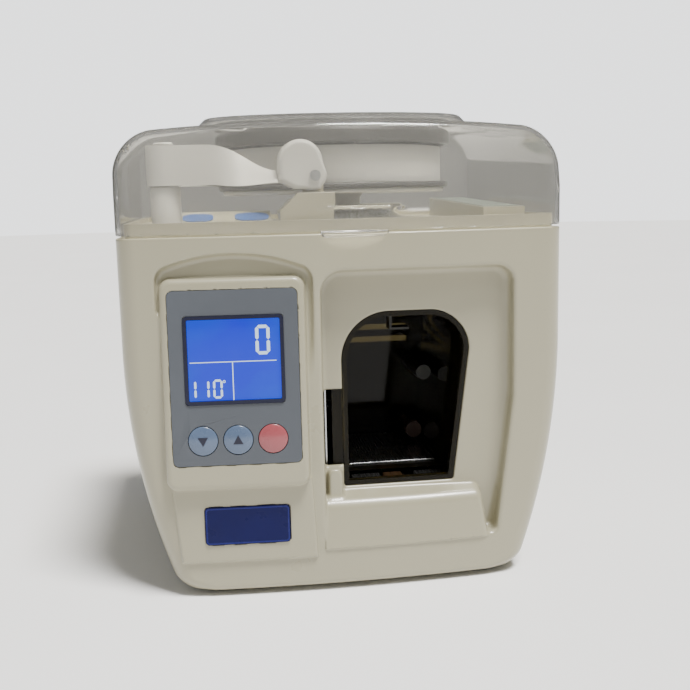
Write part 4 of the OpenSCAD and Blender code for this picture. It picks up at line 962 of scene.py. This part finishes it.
@kept
def plastic(t, b, color, rough=0.35, spread=0.06, tone=0.025, scale=25.0, grain=0.0, grain_scale=1600.0,
            edge=(1.0, 1.0, 1.0), wear=0.0, dust=0.0, coat=0.0, specular=0.5):
    """Moulded, painted or rubber surface."""
    look = bpy.context.scene.strapper_look
    c = use(t, "tone", Color=color, Scale=scale, Amount=tone).outputs["Color"]
    if wear:
        c = use(t, "wear", Color=c, Edge_Color=edge, Amount=wear * look.wear * 2).outputs["Color"]
    r = use(t, "smudge", Roughness=rough, Spread=spread, Scale=scale * 2).outputs["Roughness"]
    if dust:
        d = use(t, "dust", Color=c, Roughness=r, Amount=dust * look.dust * 2)
        c, r = d.outputs["Color"], d.outputs["Roughness"]
    t.links.new(c, b.inputs["Base Color"])
    t.links.new(r, b.inputs["Roughness"])
    b.inputs["Coat Weight"].default_value = coat
    b.inputs["Coat Roughness"].default_value = 0.12
    b.inputs["Specular IOR Level"].default_value = specular
    if grain:
        link_bump(t, b, use(t, "grain", Scale=grain_scale).outputs["Height"], grain * look.grain, 0.0002)


@kept
def metal(t, b, color, rough=0.3, spread=0.08, stretch=(900.0, 30.0, 900.0)):
    link_tone(t, b, color, 60.0, 0.06)
    n = use(t, "brushed", Stretch=stretch, Roughness=rough, Spread=spread)
    t.links.new(n.outputs["Roughness"], b.inputs["Roughness"])
    link_bump(t, b, n.outputs["Height"], 0.12, 0.0001)
    b.inputs["Metallic"].default_value = 1.0


@kept
def clear(t, b, color, edge, rough, transmission, through, ior):
    """Clear or smoked plastic that lets shadow rays pass with its own tint; its colour turns darker at a
    glancing view, a painted darkening that stands in for dark reflections.
    """
    c = use(t, "tone", Color=color, Scale=30.0, Amount=0.03).outputs["Color"]
    e = use(t, "tone", Color=edge, Scale=30.0, Amount=0.03).outputs["Color"]
    # Painted reflection: the darker edge colour, mixed in at a glancing view, stands in for the dark
    # reflections on the plastic.
    painted_glance_darkening = remap(t, add(t, "LayerWeight", Blend=0.5).outputs["Facing"], 0.55, 1.0, 0.0, 1.0)
    t.links.new(mix_color(t, painted_glance_darkening, c, e), b.inputs["Base Color"])
    link_smudge(t, b, rough, 0.02, 45.0)
    b.inputs["Transmission Weight"].default_value = transmission
    b.inputs["IOR"].default_value = ior
    see = add(t, "BsdfTransparent")
    see.inputs["Color"].default_value = (*through, 1)
    mix = add(t, "MixShader")
    t.links.new(add(t, "LightPath").outputs["Is Shadow Ray"], mix.inputs[0])
    t.links.new(b.outputs[0], mix.inputs[1])
    t.links.new(see.outputs[0], mix.inputs[2])
    t.links.new(mix.outputs[0], t.nodes["Material Output"].inputs["Surface"])


@kept
def glowing(t, b, color, edge, centre, strength):
    s = use(t, "screen", Color=color, Edge_Color=edge, Centre=centre)
    t.links.new(s.outputs["Color"], b.inputs["Emission Color"])
    link_tone(t, b, (0.01, 0.02, 0.06), 40.0, 0.05)
    link_smudge(t, b, 0.12, 0.04, 60.0)
    b.inputs["Emission Strength"].default_value = strength
    b.inputs["Specular IOR Level"].default_value = 0.25


@kept
def paper(t, b, centre=None):
    """Strap paper; wound round a centre it shows its layers."""
    c = use(t, "tone", Color=(0.5, 0.49, 0.455), Scale=60.0, Amount=0.03).outputs["Color"]
    if centre is not None:
        c = use(t, "layers", Color=c, Centre=centre).outputs["Color"]
    t.links.new(c, b.inputs["Base Color"])
    link_smudge(t, b, 0.5, 0.06, 80.0)
    link_bump(t, b, use(t, "grain", Scale=2600.0).outputs["Height"], 0.15, 0.0001)


FINE = (3600.0, 90.0, 3600.0)  # stretch of a finely brushed metal's streaks
LOOKS = {
    "case_cream": (plastic, "Ivory plastic", (0.315, 0.293, 0.203), 0.32, 0.05, 0.02, 12.0, 0.22, 1500.0,
                   (0.46, 0.44, 0.34), 0.4, 0.1, 0.35),
    "base_steel": (metal, "Zinc plate", (0.55, 0.56, 0.57), 0.38, 0.1, (60.0, 60.0, 60.0)),
    "foot_rubber": (plastic, "Foot rubber", (0.02, 0.02, 0.02), 0.75, 0.08, 0.1, 90.0, 0.6, 1800.0),
    "label_blue": (plastic, "Blue label", (0.02, 0.07, 0.24), 0.45, 0.06, 0.06, 60.0),
    # Second colour: painted reflection, the darker colour that the clear cover shows at a glancing view.
    "clear_plastic": (clear, "Clear cover", (0.84, 0.83, 0.79), (0.3, 0.29, 0.26), 0.05, 0.95,
                      (0.8, 0.79, 0.76), 1.36),
    "steel": (metal, "Steel", (0.5, 0.51, 0.52), 0.28, 0.08, FINE),
    "blade_steel": (metal, "Blade steel", (0.72, 0.73, 0.74), 0.16, 0.05),
    "overlay_grey": (plastic, "Grey overlay", (0.075, 0.083, 0.096), 0.4, 0.05, 0.04, 30.0, 0.3, 2200.0,
                     (0.14, 0.15, 0.17), 0.4, 0.0, 0.0, 0.3),
    "display_black": (plastic, "Display frame", (0.012, 0.013, 0.03), 0.25, 0.05, 0.08, 50.0, 0.1, 1500.0,
                      (0.04, 0.04, 0.07), 0.4, 0.0, 0.0, 0.2),
    "button_blue": (plastic, "Button blue", (0.075, 0.11, 0.18), 0.28, 0.05, 0.05, 60.0, 0.1, 1500.0,
                    (0.3, 0.36, 0.45), 0.4, 0.0, 0.3),
    "button_red": (plastic, "Button red", (0.28, 0.06, 0.07), 0.28, 0.05, 0.05, 60.0, 0.1, 1500.0,
                   (0.6, 0.3, 0.3), 0.4, 0.0, 0.3),
    "board_green": (plastic, "Circuit board", (0.02, 0.13, 0.06), 0.35, 0.06, 0.15, 140.0, 0.4, 900.0),
    "navy": (plastic, "Navy name plate", (0.002, 0.003, 0.05), 0.3, 0.04, 0.08, 60.0, 0.1, 1500.0,
             (0.02, 0.03, 0.15), 0.4, 0.0, 0.0, 0.15),
    # Second colour: painted reflection, the darker colour that the smoked plastic shows at a glancing view.
    "smoked_plastic": (clear, "Smoked plastic", (0.045, 0.036, 0.014), (0.02, 0.016, 0.006), 0.06, 0.88,
                       (0.2, 0.16, 0.08), 1.22),
    "knob_brown": (plastic, "Brown knob", (0.05, 0.02, 0.01), 0.35, 0.05, 0.06, 60.0),
    "white_plastic": (plastic, "White plastic", (0.52, 0.51, 0.475), 0.34, 0.05, 0.02, 30.0, 0.15, 1500.0,
                      (0.68, 0.6675, 0.62375), 0.2, 0.15),
    "dark_plastic": (plastic, "Dark grey plastic", (0.035, 0.034, 0.032), 0.4, 0.07, 0.08, 40.0, 0.3,
                     1500.0, (0.08, 0.08, 0.075), 0.4, 0.03, 0.0, 0.3),
    "strap_paper": (paper, "Paper strap"),
    "motor_steel": (metal, "Motor can", (0.52, 0.53, 0.54), 0.34, 0.08),
    "roller_rubber": (plastic, "Roller rubber", (0.03, 0.03, 0.03), 0.7, 0.08, 0.1, 90.0, 0.5, 1800.0),
    "gear_brass": (metal, "Brass", (0.72, 0.52, 0.22), 0.28, 0.08),
    "heater_brass": (metal, "Heated brass", (0.5, 0.3, 0.16), 0.35, 0.1),
    "transformer": (plastic, "Varnished core", (0.16, 0.09, 0.04), 0.4, 0.1, 0.15, 120.0, 0.5, 700.0),
    "fitting_black": (plastic, "Black fitting", (0.018, 0.018, 0.018), 0.38, 0.06, 0.08, 60.0, 0.3, 1600.0,
                      (0.08, 0.08, 0.08), 0.4, 0.2),
}


def material_for(slot):
    """Material of a record slot."""
    maker, *looks = LOOKS[slot]
    return maker(*looks)


def dress(names, bevel=0.0):
    """Gives frame nodes that stay as they are their material and a small round on their edges."""
    slots = {p["node"]: p["material_slot"] for p in frame["record"]["subparts"]}
    for name in names:
        ob = frame["nodes"][name]
        ob.data.materials.clear()
        ob.data.materials.append(material_for(slots[name]))
        if bevel:
            soften(ob, bevel, weld=True)


# ------------------------------------------------------------------ pieces

def placed(x=0.0, y=0.0, z=0.0):
    return Matrix.Translation((x, y, z))


def world(point):
    """Millimetres in the case's own frame to metres in the row frame."""
    return tuple((np.array(point, float) + F.shift) * 0.001)


def finish(ob, body, slot, node):
    """Ends a piece that wears its slot's own material and stands for a node."""
    finish_piece(ob, body, material_for(slot), slot, node)


def turned(name, profile, at, steps, body, slot, node):
    """Lathed piece that stands for a node."""
    finish(lathe(name, profile, at, steps), body, slot, node)


def round_node(node):
    """Radius, lowest and highest point of a node that's round about an upright axis."""
    lo, hi = F.local(node)
    return (hi[0] - lo[0]) / 2, lo[2], hi[2]


def linked(name, data):
    """New object in the scene."""
    ob = bpy.data.objects.new(name, data)
    bpy.context.scene.collection.objects.link(ob)
    return ob


def make_housing():
    c = bpy.context.scene.strapper_case
    w = F.half_w + 2
    ob = net("front_case", front_shell,
             [-w, -9.3, -1.7], [w, F.seam_y + 1.7, F.case_h + 1.7], mm(c.cell))
    finish(ob, "case", "case_cream", "front_shell")
    ob = net("rear_case", rear_shell,
             [-w, F.seam_y - 2, -2], [w, F.case_d + 2, F.case_h + 2], mm(c.rear_cell))
    finish(ob, "case", "case_cream", "rear_shell")
    dress(["top_deck"], 0.0004)
    dress(["base_plate", "rubber_feet", "case_screws", "hinge_pins"], 0.0002)
    dress(["deck_labels"])
    labels = frame["nodes"]["deck_labels"].data
    labels.materials.append(plastic("Green label", (0.13, 0.155, 0.13), 0.4, 0.06, 0.12, 60.0))
    for face in labels.polygons:
        if face.center.x > 0:
            face.material_index = 1


def make_console():
    k = bpy.context.scene.strapper_console
    low = OVERLAY["v"] + OVERLAY["h"] / 2
    mid = DISPLAY["v"] + DISPLAY["h"] / 2
    holes = [round_loop(DISPLAY["w"], DISPLAY["h"], 1.6, 0, mid)]
    for i in (-1, 0, 1):
        holes.append(circle_loop(BUTTON["d"] / 2 + 0.3, BUTTON["u"] + i * BUTTON["pitch"], BUTTON["v"]))
    ob = plate("overlay_panel", round_loop(OVERLAY["w"] - 0.2, OVERLAY["h"] - 0.2, 3.0, 0, low), 1.2,
               console_matrix(0, 0, -OVERLAY["t"]), 0.00035, holes)
    finish(ob, "case", "overlay_grey", "control_overlay")
    rim = DISPLAY["rim"]
    ob = plate("display_bezel", round_loop(DISPLAY["w"] - 0.2, DISPLAY["h"] - 0.2, 2.2, 0, mid), 1.8,
               console_matrix(0, 0, -OVERLAY["t"]), 0.0006,
               [round_loop(DISPLAY["w"] - 2 * rim, DISPLAY["h"] - 2 * rim, 0.8, 0, mid)])
    finish(ob, "case", "display_black", "display_frame")
    centre = world(console_matrix(0, mid, -1) @ Vector((0, 0, 0)))
    ob = plate("lit_screen", round_loop(DISPLAY["w"] - 2.4, DISPLAY["h"] - 2.4, 0.6, 0, mid), 11,
               console_matrix(0, 0, -12), 0)
    finish_piece(ob, "case", glowing("Lit screen", (0.0, 0.012, 1.0), (0.0, 0.07, 1.0), centre, k.glow),
                 "display_blue", "display_module")
    make_digits()
    for i, node, kind in ((-1, "button_down", "button_blue"), (0, "button_up", "button_blue"),
                          (1, "button_clear", "button_red")):
        make_button(i, node, kind)
    ob = plate("name_tag", round_loop(BADGE["w"] - 0.2, BADGE["h"] - 0.2, 2.0), 1.4,
               badge_matrix(-BADGE["seat"]), 0.0004)
    finish(ob, "case", "navy", "name_plate")
    ob = plate("name_tag_rim", round_loop(BADGE["w"] - 1.2, BADGE["h"] - 1.2, 1.6), 0.3,
               badge_matrix(0.4), 0.0001, [round_loop(BADGE["w"] - 2.4, BADGE["h"] - 2.4, 1.2)])
    edge = plastic("Name plate rim", (0.01, 0.014, 0.13), 0.3, 0.05, 0.1, 60.0, specular=0.2)
    finish_piece(ob, "case", edge, "navy")
    dress(["control_board"], 0.0002)


def segment_loop(u, v, length, t, upright):
    """Six-sided bar of a digit, round its middle."""
    h, e = length / 2 - 0.12, t / 2
    pts = [(-h, 0), (-h + e, e), (h - e, e), (h, 0), (h - e, -e), (-h + e, -e)]
    if upright:
        pts = [(-b, a) for a, b in pts]
    return [(u + a, v + b) for a, b in pts]


def digit_loops(text, u, v, w, h, t):
    """Bars of a digit whose lower left corner is at u, v."""
    on = {"0": "abcdef", "1": "bc"}[text]
    half = (h - t) / 2
    bars = {"a": (w / 2, h - t / 2, 0), "d": (w / 2, t / 2, 0),
            "b": (w - t / 2, t / 2 + half * 1.5, 1), "c": (w - t / 2, t / 2 + half / 2, 1),
            "f": (t / 2, t / 2 + half * 1.5, 1), "e": (t / 2, t / 2 + half / 2, 1)}
    return [segment_loop(u + bars[s][0], v + bars[s][1], half if bars[s][2] else w - t, t, bars[s][2])
            for s in on]


def bar(u1, v1, u2, v2):
    return [(u1, v1), (u2, v1), (u2, v2), (u1, v2)]


def make_digits():
    k = bpy.context.scene.strapper_console
    big, small = mm(k.digit_h), mm(k.small_digit_h)
    loops = digit_loops("0", 11.0, 69.4, 7.4, big, 1.7)
    for text, u in (("1", -24.6), ("1", -18.0), ("0", -11.3)):
        loops += digit_loops(text, u, 47.6, 4.9, small, 1.15)
    loops += [bar(-22.6, 66.0, 21.4, 66.45), bar(-1.25, 46.6, -0.75, 66.0)]
    meshes = [plate("digits", loop, 0.06, console_matrix(0, 0, -1.0), 0) for loop in loops]
    ring = plate("digits", circle_loop(0.75, -5.6, 56.2, 20), 0.06, console_matrix(0, 0, -1.0), 0,
                 [circle_loop(0.35, -5.6, 56.2, 16)])
    ob = join("display_digits", meshes + [ring])
    finish_piece(ob, "case", glowing("Lit digits", (0.75, 0.9, 1.0), (0.7, 0.88, 1.0), (0, 0, 0), 1.4),
                 "display_blue")


def join(name, objects):
    """One object from several, which are removed."""
    bm = bmesh.new()
    for o in objects:
        bm.from_mesh(o.data)
    me = bpy.data.meshes.new(name)
    bm.to_mesh(me)
    bm.free()
    for o in objects:
        old = o.data
        bpy.data.objects.remove(o)
        bpy.data.meshes.remove(old)
    return linked(name, me)


def make_button(i, node, kind):
    r, out, ball = BUTTON["d"] / 2, BUTTON["out"], 24.0
    profile = [(0, -7.1), (r + 1, -7.1), (r + 1, -6.1), (r, -6.1)]
    edge = out - ball + math.sqrt(ball * ball - (r - 0.5) ** 2)
    profile += [(r, edge - 0.75), (r - 0.06, edge - 0.35), (r - 0.22, edge - 0.12)]
    for j in range(8, -1, -1):
        q = (r - 0.5) * j / 8
        profile.append((q, out - ball + math.sqrt(ball * ball - q * q)))
    u = BUTTON["u"] + i * BUTTON["pitch"]
    ob = lathe(node + "_cap", profile, console_matrix(u, BUTTON["v"], 0), 72)
    finish(ob, node, kind, node)
    if i == 1:
        return
    s = 1 if i == 0 else -1
    loop = [(-2.6, -2.0 * s), (2.6, -2.0 * s), (0, 2.7 * s)]
    if s < 0:
        loop.reverse()
    ob = plate(node + "_arrow", loop, 0.28, console_matrix(u, BUTTON["v"], out - 0.26), 0)
    finish_piece(ob, node, plastic("Button print", (0.004, 0.005, 0.02), 0.4, 0.05, 0.1, 60.0), kind)


def make_mouth():
    dress(["strap_arch", "note_chamber"])
    dress(["note_table", "note_bracket", "guide_pin", "guide_knob", "clamp_plate"], 0.0003)
    # Painted shade: the bracket and the pin inside the note mouth get a near-black steel that stands in for
    # the mouth's shade.
    mouth_shade_steel = metal("Steel darkened as mouth shade", (0.05, 0.05, 0.047), 0.42, 0.1, FINE)
    for name in ("note_bracket", "guide_pin"):
        frame["nodes"][name].data.materials[0] = mouth_shade_steel


def make_cover():
    k = bpy.context.scene.strapper_cover
    w = F.half_w + 2
    ob = net("clear_lid", cover, [-w, -7, COVER["low"] - 5], [w, F.case_d + 2, COVER["low"] + 71], mm(k.cell))
    finish(ob, "cover", "clear_plastic", "clear_cover")


def make_supply():
    s = bpy.context.scene.strapper_supply
    n = s.segments
    cx, cy = F.middle("strap_roll")[:2]
    at = placed(cx, cy, 0)
    _, z1, z2 = round_node("reel_spindle")
    turned("spindle", [
        (0, z1), (20, z1), (20, z1 + 2.2), (19.2, z1 + 3), (7.2, z1 + 3), (6, z1 + 4.2), (6, z2 - 1.2),
        (5.2, z2 - 0.2), (4.4, z2), (0, z2)], at, 96, "case", "steel", "reel_spindle")
    r, z1, z2 = round_node("reel_tray")
    turned("tray", [
        (6.02, z1), (16, z1), (16, z2 - 5), (18, z2 - 2.5), (r - 0.8, z2 - 2.5), (r - 0.2, z2 - 2.2),
        (r, z2 - 1.6), (r, z2 - 0.8), (r - 0.3, z2 - 0.2), (r - 0.9, z2), (6.02, z2)],
        at, n, "case", "white_plastic", "reel_tray")
    r, z1, z2 = round_node("reel_flange")
    turned("flange", [
        (6.08, z1), (r - 0.8, z1), (r - 0.2, z1 + 0.3), (r, z1 + 0.9), (r, z1 + 2.2), (r - 0.3, z1 + 2.8),
        (r - 0.9, z1 + 3), (15, z1 + 3), (14, z1 + 4), (14, z2), (6.08, z2)],
        at, n, "reel", "dark_plastic", "reel_flange")
    r, z1, z2 = round_node("strap_roll")
    ob = lathe("paper_roll", turned_profile(14.02, r, z1, z2, 0.25, 2), at, n)
    finish_piece(ob, "reel", paper("Wound paper strap", world((cx, cy, 0))), "strap_paper", "strap_roll")
    r, z1, z2 = round_node("reel_cap")
    turned("reel_lid", [
        (6.08, z1), (14, z1), (14, z2 - 3), (r - 3, z2 - 3), (r - 3, z1 + 0.6), (r - 2.6, z1), (r - 0.6, z1),
        (r - 0.1, z1 + 0.5), (r, z1 + 1.2), (r, z2 - 2.4), (r - 0.5, z2 - 1.0), (r - 1.6, z2 - 0.2),
        (r - 3, z2), (11, z2), (10, z2 - 0.8), (6.08, z2 - 0.8)], at, n, "reel", "dark_plastic", "reel_cap")
    make_post()
    make_lever()
    make_strap(cx, cy)
    dress(["lever_bracket", "lever_screw"], 0.0004)
    dress(["strap_feed"])


def make_post():
    at = placed(*F.middle("guide_post")[:2], 0)
    r, z1, z2 = round_node("guide_post")
    roller_r, roller_z1, roller_z2 = round_node("guide_roller")
    low, high = roller_z1 - 0.3, roller_z2 + 0.3
    turned("post", [
        (0, z1), (r, z1), (r, low - 1.1), (r - 0.3, low - 0.3), (r - 1, low), (3, low), (3, high),
        (4.6, high), (5, high + 0.3), (5, z2 - 0.5), (4.4, z2 - 0.1), (3.6, z2), (0, z2)],
        at, 96, "case", "white_plastic", "guide_post")
    turned("roller", turned_profile(3.06, roller_r, roller_z1, roller_z2, 0.6),
           at, 96, "guide_roller", "white_plastic", "guide_roller")


LEVER = (-15.5, 216.7)  # X and Z of the lever's screw
STRAP_HALF_T = 0.09
BEND_STEPS = 24  # of the strap round the roller
TWIST_X = -70.0  # where the strap begins to turn over


def make_lever():
    lo, hi = F.local("guide_lever")
    px, pz = LEVER
    slit = px - 10.5

    def lever(x, y, z):
        a = np.hypot(x - px + 7, z - pz - 7) - 11.4
        b = np.hypot(x - px + 1, z - pz - 0.3) - 7.4
        d = round_min(a, b, 2.0)
        low = np.maximum(slope(x, z, (px - 18.4, pz - 2.4), (px - 11, pz - 6.6)),
                         slope(x, z, (px - 11, pz - 6.6), (px - 2, pz - 6.8)))
        body = np.maximum(np.maximum(px - 18.4 - x, low), np.maximum(x - px - 3, z - pz - 8))
        d = round_min(d, body, 1.0)
        d = round_max(np.maximum(d, px - 18.4 - x), np.maximum(lo[1] - y, y - hi[1]), 2.6)
        web = lo[1] + 3
        gap = np.maximum(np.maximum(np.abs(z - pz) - 1.5, x - slit - 1.5), web - y)
        gap = np.minimum(gap, np.maximum(
            np.maximum(np.abs(x - slit) - 1.5, z - pz - 1.5), np.maximum(web - y, pz - 10 - z)))
        d = round_max(d, -gap, 0.5)
        return np.maximum(d, 1.56 - np.hypot(x - px, z - pz))

    ob = net("lever", lever, lo - 1.5, hi + 1.5, 0.5)
    finish(ob, "guide_lever", "white_plastic", "guide_lever")


def make_strap(cx, cy):
    s = bpy.context.scene.strapper_supply
    rx, ry = F.middle("guide_roller")[:2]
    in_r = round_node("guide_roller")[0] + 0.2
    radius, low, high = round_node("strap_roll")
    middle, half = (low + high) / 2, (high - low) / 2
    reach = math.hypot(rx - cx, ry - cy)
    turn_at = math.atan2(ry - cy, rx - cx) - math.acos((radius - in_r) / reach) + 2 * math.pi
    path = [(cx + (radius + 0.15) * math.cos(turn_at), cy + (radius + 0.15) * math.sin(turn_at))]
    for i in range(BEND_STEPS + 1):
        a = turn_at + (1.5 * math.pi - turn_at) * i / BEND_STEPS
        path.append((rx + in_r * math.cos(a), ry + in_r * math.sin(a)))
    end_x = LEVER[0] - 18.9
    front = ry - in_r
    path += [(rx + (end_x - rx) * (i + 1) / s.steps, front) for i in range(s.steps)]
    verts, faces = [], []
    for i, (x, y) in enumerate(path):
        a = path[max(i - 1, 0)]
        b = path[min(i + 1, len(path) - 1)]
        along = Vector((b[0] - a[0], b[1] - a[1], 0)).normalized()
        t = float(smooth((x - TWIST_X) / (end_x - TWIST_X))) if i > BEND_STEPS + 1 else 0.0
        turned_by = s.twist * t
        across = Vector((along.y, -along.x, 0))
        up = Vector((0, 0, math.cos(turned_by))) - across * math.sin(turned_by)
        normal = along.cross(up).normalized()
        c = Vector((x, y + 0.6 * t, middle + (LEVER[1] - middle) * t))
        reach_up = up * half * (1 - 0.12 * t)
        for side in (-1, 1):
            for face in (-STRAP_HALF_T, STRAP_HALF_T):
                verts.append(tuple(c + reach_up * side + normal * face))
        if i:
            j, k = (i - 1) * 4, i * 4
            faces += [(j, k, k + 2, j + 2), (j + 3, k + 3, k + 1, j + 1),
                      (j + 1, k + 1, k, j), (j + 2, k + 2, k + 3, j + 3)]
    n = len(path) * 4
    faces += [(0, 2, 3, 1), (n - 4, n - 3, n - 1, n - 2)]
    ob = mesh_object("loose_strap", verts, faces)
    clean(ob)
    ob.data.set_sharp_from_angle(angle=SHARP)
    ob.data.materials.append(material_for("strap_paper"))
    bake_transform(ob)
    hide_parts("strap_web")


def make_mechanism():
    dress(["feed_motor", "feed_roller", "pinch_roller", "feed_bracket", "strap_chute", "drive_motor",
           "motor_pinion", "cam_shaft", "mechanism_frame", "left_gripper", "press_head", "heater_plate",
           "right_gripper", "cutter_blade", "clamp_bracket", "power_board", "transformer"],
          bpy.context.scene.strapper_inside.bevel)
    dress(["return_springs"])


def make_rear():
    dress(["power_inlet", "inlet_pins", "switch_housing", "power_rocker", "fuse_holder"], 0.0003)


# ------------------------------------------------------------------ stage

def area_light(name, size, power, place, target, color=(1, 1, 1)):
    lamp = bpy.data.lights.new(name, "AREA")
    lamp.shape = "RECTANGLE"
    lamp.size, lamp.size_y = size
    lamp.energy = power
    lamp.color = color
    ob = linked(name, lamp)
    ob.location = place
    ob.rotation_euler = (Vector(target) - Vector(place)).to_track_quat("-Z", "Y").to_euler()
    return ob


FLOOR_R = 6  # metres
CAMERA = {  # as fitted to the picture
    "place": (-0.07123, -0.577407, 0.20952),
    "right": (0.98937738, -0.14349482, -0.02327304),
    "up": (0.04513004, 0.1510052, 0.98750226),
    "back": (-0.13818711, -0.97806271, 0.15587705),
}


def make_stage():
    s = bpy.context.scene.strapper_stage
    bm = bmesh.new()
    bm.faces.new([bm.verts.new((x, y, 0)) for x, y in circle_loop(FLOOR_R, 0, 0, 48)])
    me = bpy.data.meshes.new("floor")
    bm.to_mesh(me)
    bm.free()
    floor = linked("floor", me)
    floor.data.materials.append(plastic("Studio floor", (0.93, 0.925, 0.915), 0.7, 0.04, 0.008, 3.0))
    lamp = bpy.data.lights.new("key_light", "SUN")
    lamp.energy = s.key
    lamp.angle = s.softness
    lamp.color = (1.0, 0.985, 0.96)
    key = linked("key_light", lamp)
    key.rotation_euler = Vector((-0.22, 0.29, -0.93)).to_track_quat("-Z", "Y").to_euler()
    fill = area_light("fill_light", (0.9, 0.9), s.fill, (-1.3, -1.1, 0.8), (0, 0, 0.12), (0.96, 0.98, 1.0))
    glint = area_light("glint_light", (0.14, 0.1), s.fill, (0.32, -0.74, 1.02), (0.06, -0.1, 0.04))
    pale = bpy.data.worlds.new("pale_surround")
    pale.use_nodes = True
    t = pale.node_tree
    t.nodes["Background"].inputs[0].default_value = (0.98, 0.99, 1.0, 1)
    t.links.new(remap(t, add(t, "LightPath").outputs["Is Camera Ray"], 0.0, 1.0, s.sky, s.backdrop),
                t.nodes["Background"].inputs[1])
    bpy.context.scene.world = pale
    cam = bpy.data.cameras.new("camera")
    cam.lens = s.lens
    cam.sensor_width = 36
    ob = linked("camera", cam)
    ob.matrix_world = placed(*CAMERA["place"]) @ Matrix(
        (CAMERA["right"], CAMERA["up"], CAMERA["back"])).transposed().to_4x4()
    bpy.context.scene.camera = ob


# ------------------------------------------------------------------ add-on

class STRAPPER_OT_housing(bpy.types.Operator):
    """Builds the two halves of the case and dresses the deck and the base"""
    bl_idname = "strapper.housing"
    bl_label = "Housing"

    def execute(self, context):
        make_housing()
        return {"FINISHED"}


class STRAPPER_OT_console(bpy.types.Operator):
    """Builds the overlay, the display, the buttons and the name plate"""
    bl_idname = "strapper.console"
    bl_label = "Console"

    def execute(self, context):
        make_console()
        return {"FINISHED"}


class STRAPPER_OT_mouth(bpy.types.Operator):
    """Dresses the smoked guides and what stands behind the note mouth"""
    bl_idname = "strapper.mouth"
    bl_label = "Note mouth"

    def execute(self, context):
        make_mouth()
        return {"FINISHED"}


class STRAPPER_OT_cover(bpy.types.Operator):
    """Builds the clear cover"""
    bl_idname = "strapper.cover"
    bl_label = "Cover"

    def execute(self, context):
        make_cover()
        return {"FINISHED"}


class STRAPPER_OT_supply(bpy.types.Operator):
    """Builds the reel, the strap, the guide roller and the lever"""
    bl_idname = "strapper.supply"
    bl_label = "Strap supply"

    def execute(self, context):
        make_supply()
        return {"FINISHED"}


class STRAPPER_OT_mechanism(bpy.types.Operator):
    """Dresses the feed, the press and the power parts"""
    bl_idname = "strapper.mechanism"
    bl_label = "Mechanism"

    def execute(self, context):
        make_mechanism()
        return {"FINISHED"}


class STRAPPER_OT_rear(bpy.types.Operator):
    """Dresses the inlet, the switch and the fuse holder"""
    bl_idname = "strapper.rear"
    bl_label = "Rear fittings"

    def execute(self, context):
        make_rear()
        return {"FINISHED"}


class STRAPPER_OT_stage(bpy.types.Operator):
    """Builds the floor, the lights and the camera"""
    bl_idname = "strapper.stage"
    bl_label = "Stage"

    def execute(self, context):
        make_stage()
        return {"FINISHED"}


OPERATORS = (STRAPPER_OT_housing, STRAPPER_OT_console, STRAPPER_OT_mouth, STRAPPER_OT_cover,
             STRAPPER_OT_supply, STRAPPER_OT_mechanism, STRAPPER_OT_rear, STRAPPER_OT_stage)


class STRAPPER_PT_panel(bpy.types.Panel):
    """Settings and steps of the banknote strapping machine"""
    bl_idname = "STRAPPER_PT_panel"
    bl_label = "Strapping machine"
    bl_space_type = "VIEW_3D"
    bl_region_type = "UI"
    bl_category = "Strapper"

    def draw(self, context):
        for key, group in SETTINGS.items():
            box = self.layout.box()
            box.label(text=group.__name__.replace("Strapper", ""))
            for name in group.__annotations__:
                box.prop(getattr(context.scene, key), name)
        for op in OPERATORS:
            self.layout.operator(op.bl_idname)


def register():
    for group in SETTINGS.values():
        bpy.utils.register_class(group)
    for op in (*OPERATORS, STRAPPER_PT_panel):
        bpy.utils.register_class(op)
    for key, group in SETTINGS.items():
        setattr(bpy.types.Scene, key, bpy.props.PointerProperty(type=group))


def unregister():
    for key in SETTINGS:
        delattr(bpy.types.Scene, key)
    for op in (STRAPPER_PT_panel, *reversed(OPERATORS)):
        bpy.utils.unregister_class(op)
    for group in reversed(list(SETTINGS.values())):
        bpy.utils.unregister_class(group)


def main():
    register()
    make_groups()
    for name in ("housing", "console", "mouth", "cover", "supply", "mechanism", "rear", "stage"):
        result = getattr(bpy.ops.strapper, name)()
        if result != {"FINISHED"}:
            raise RuntimeError("The step " + name + " did not finish.")


if __name__ == "__main__":
    main()
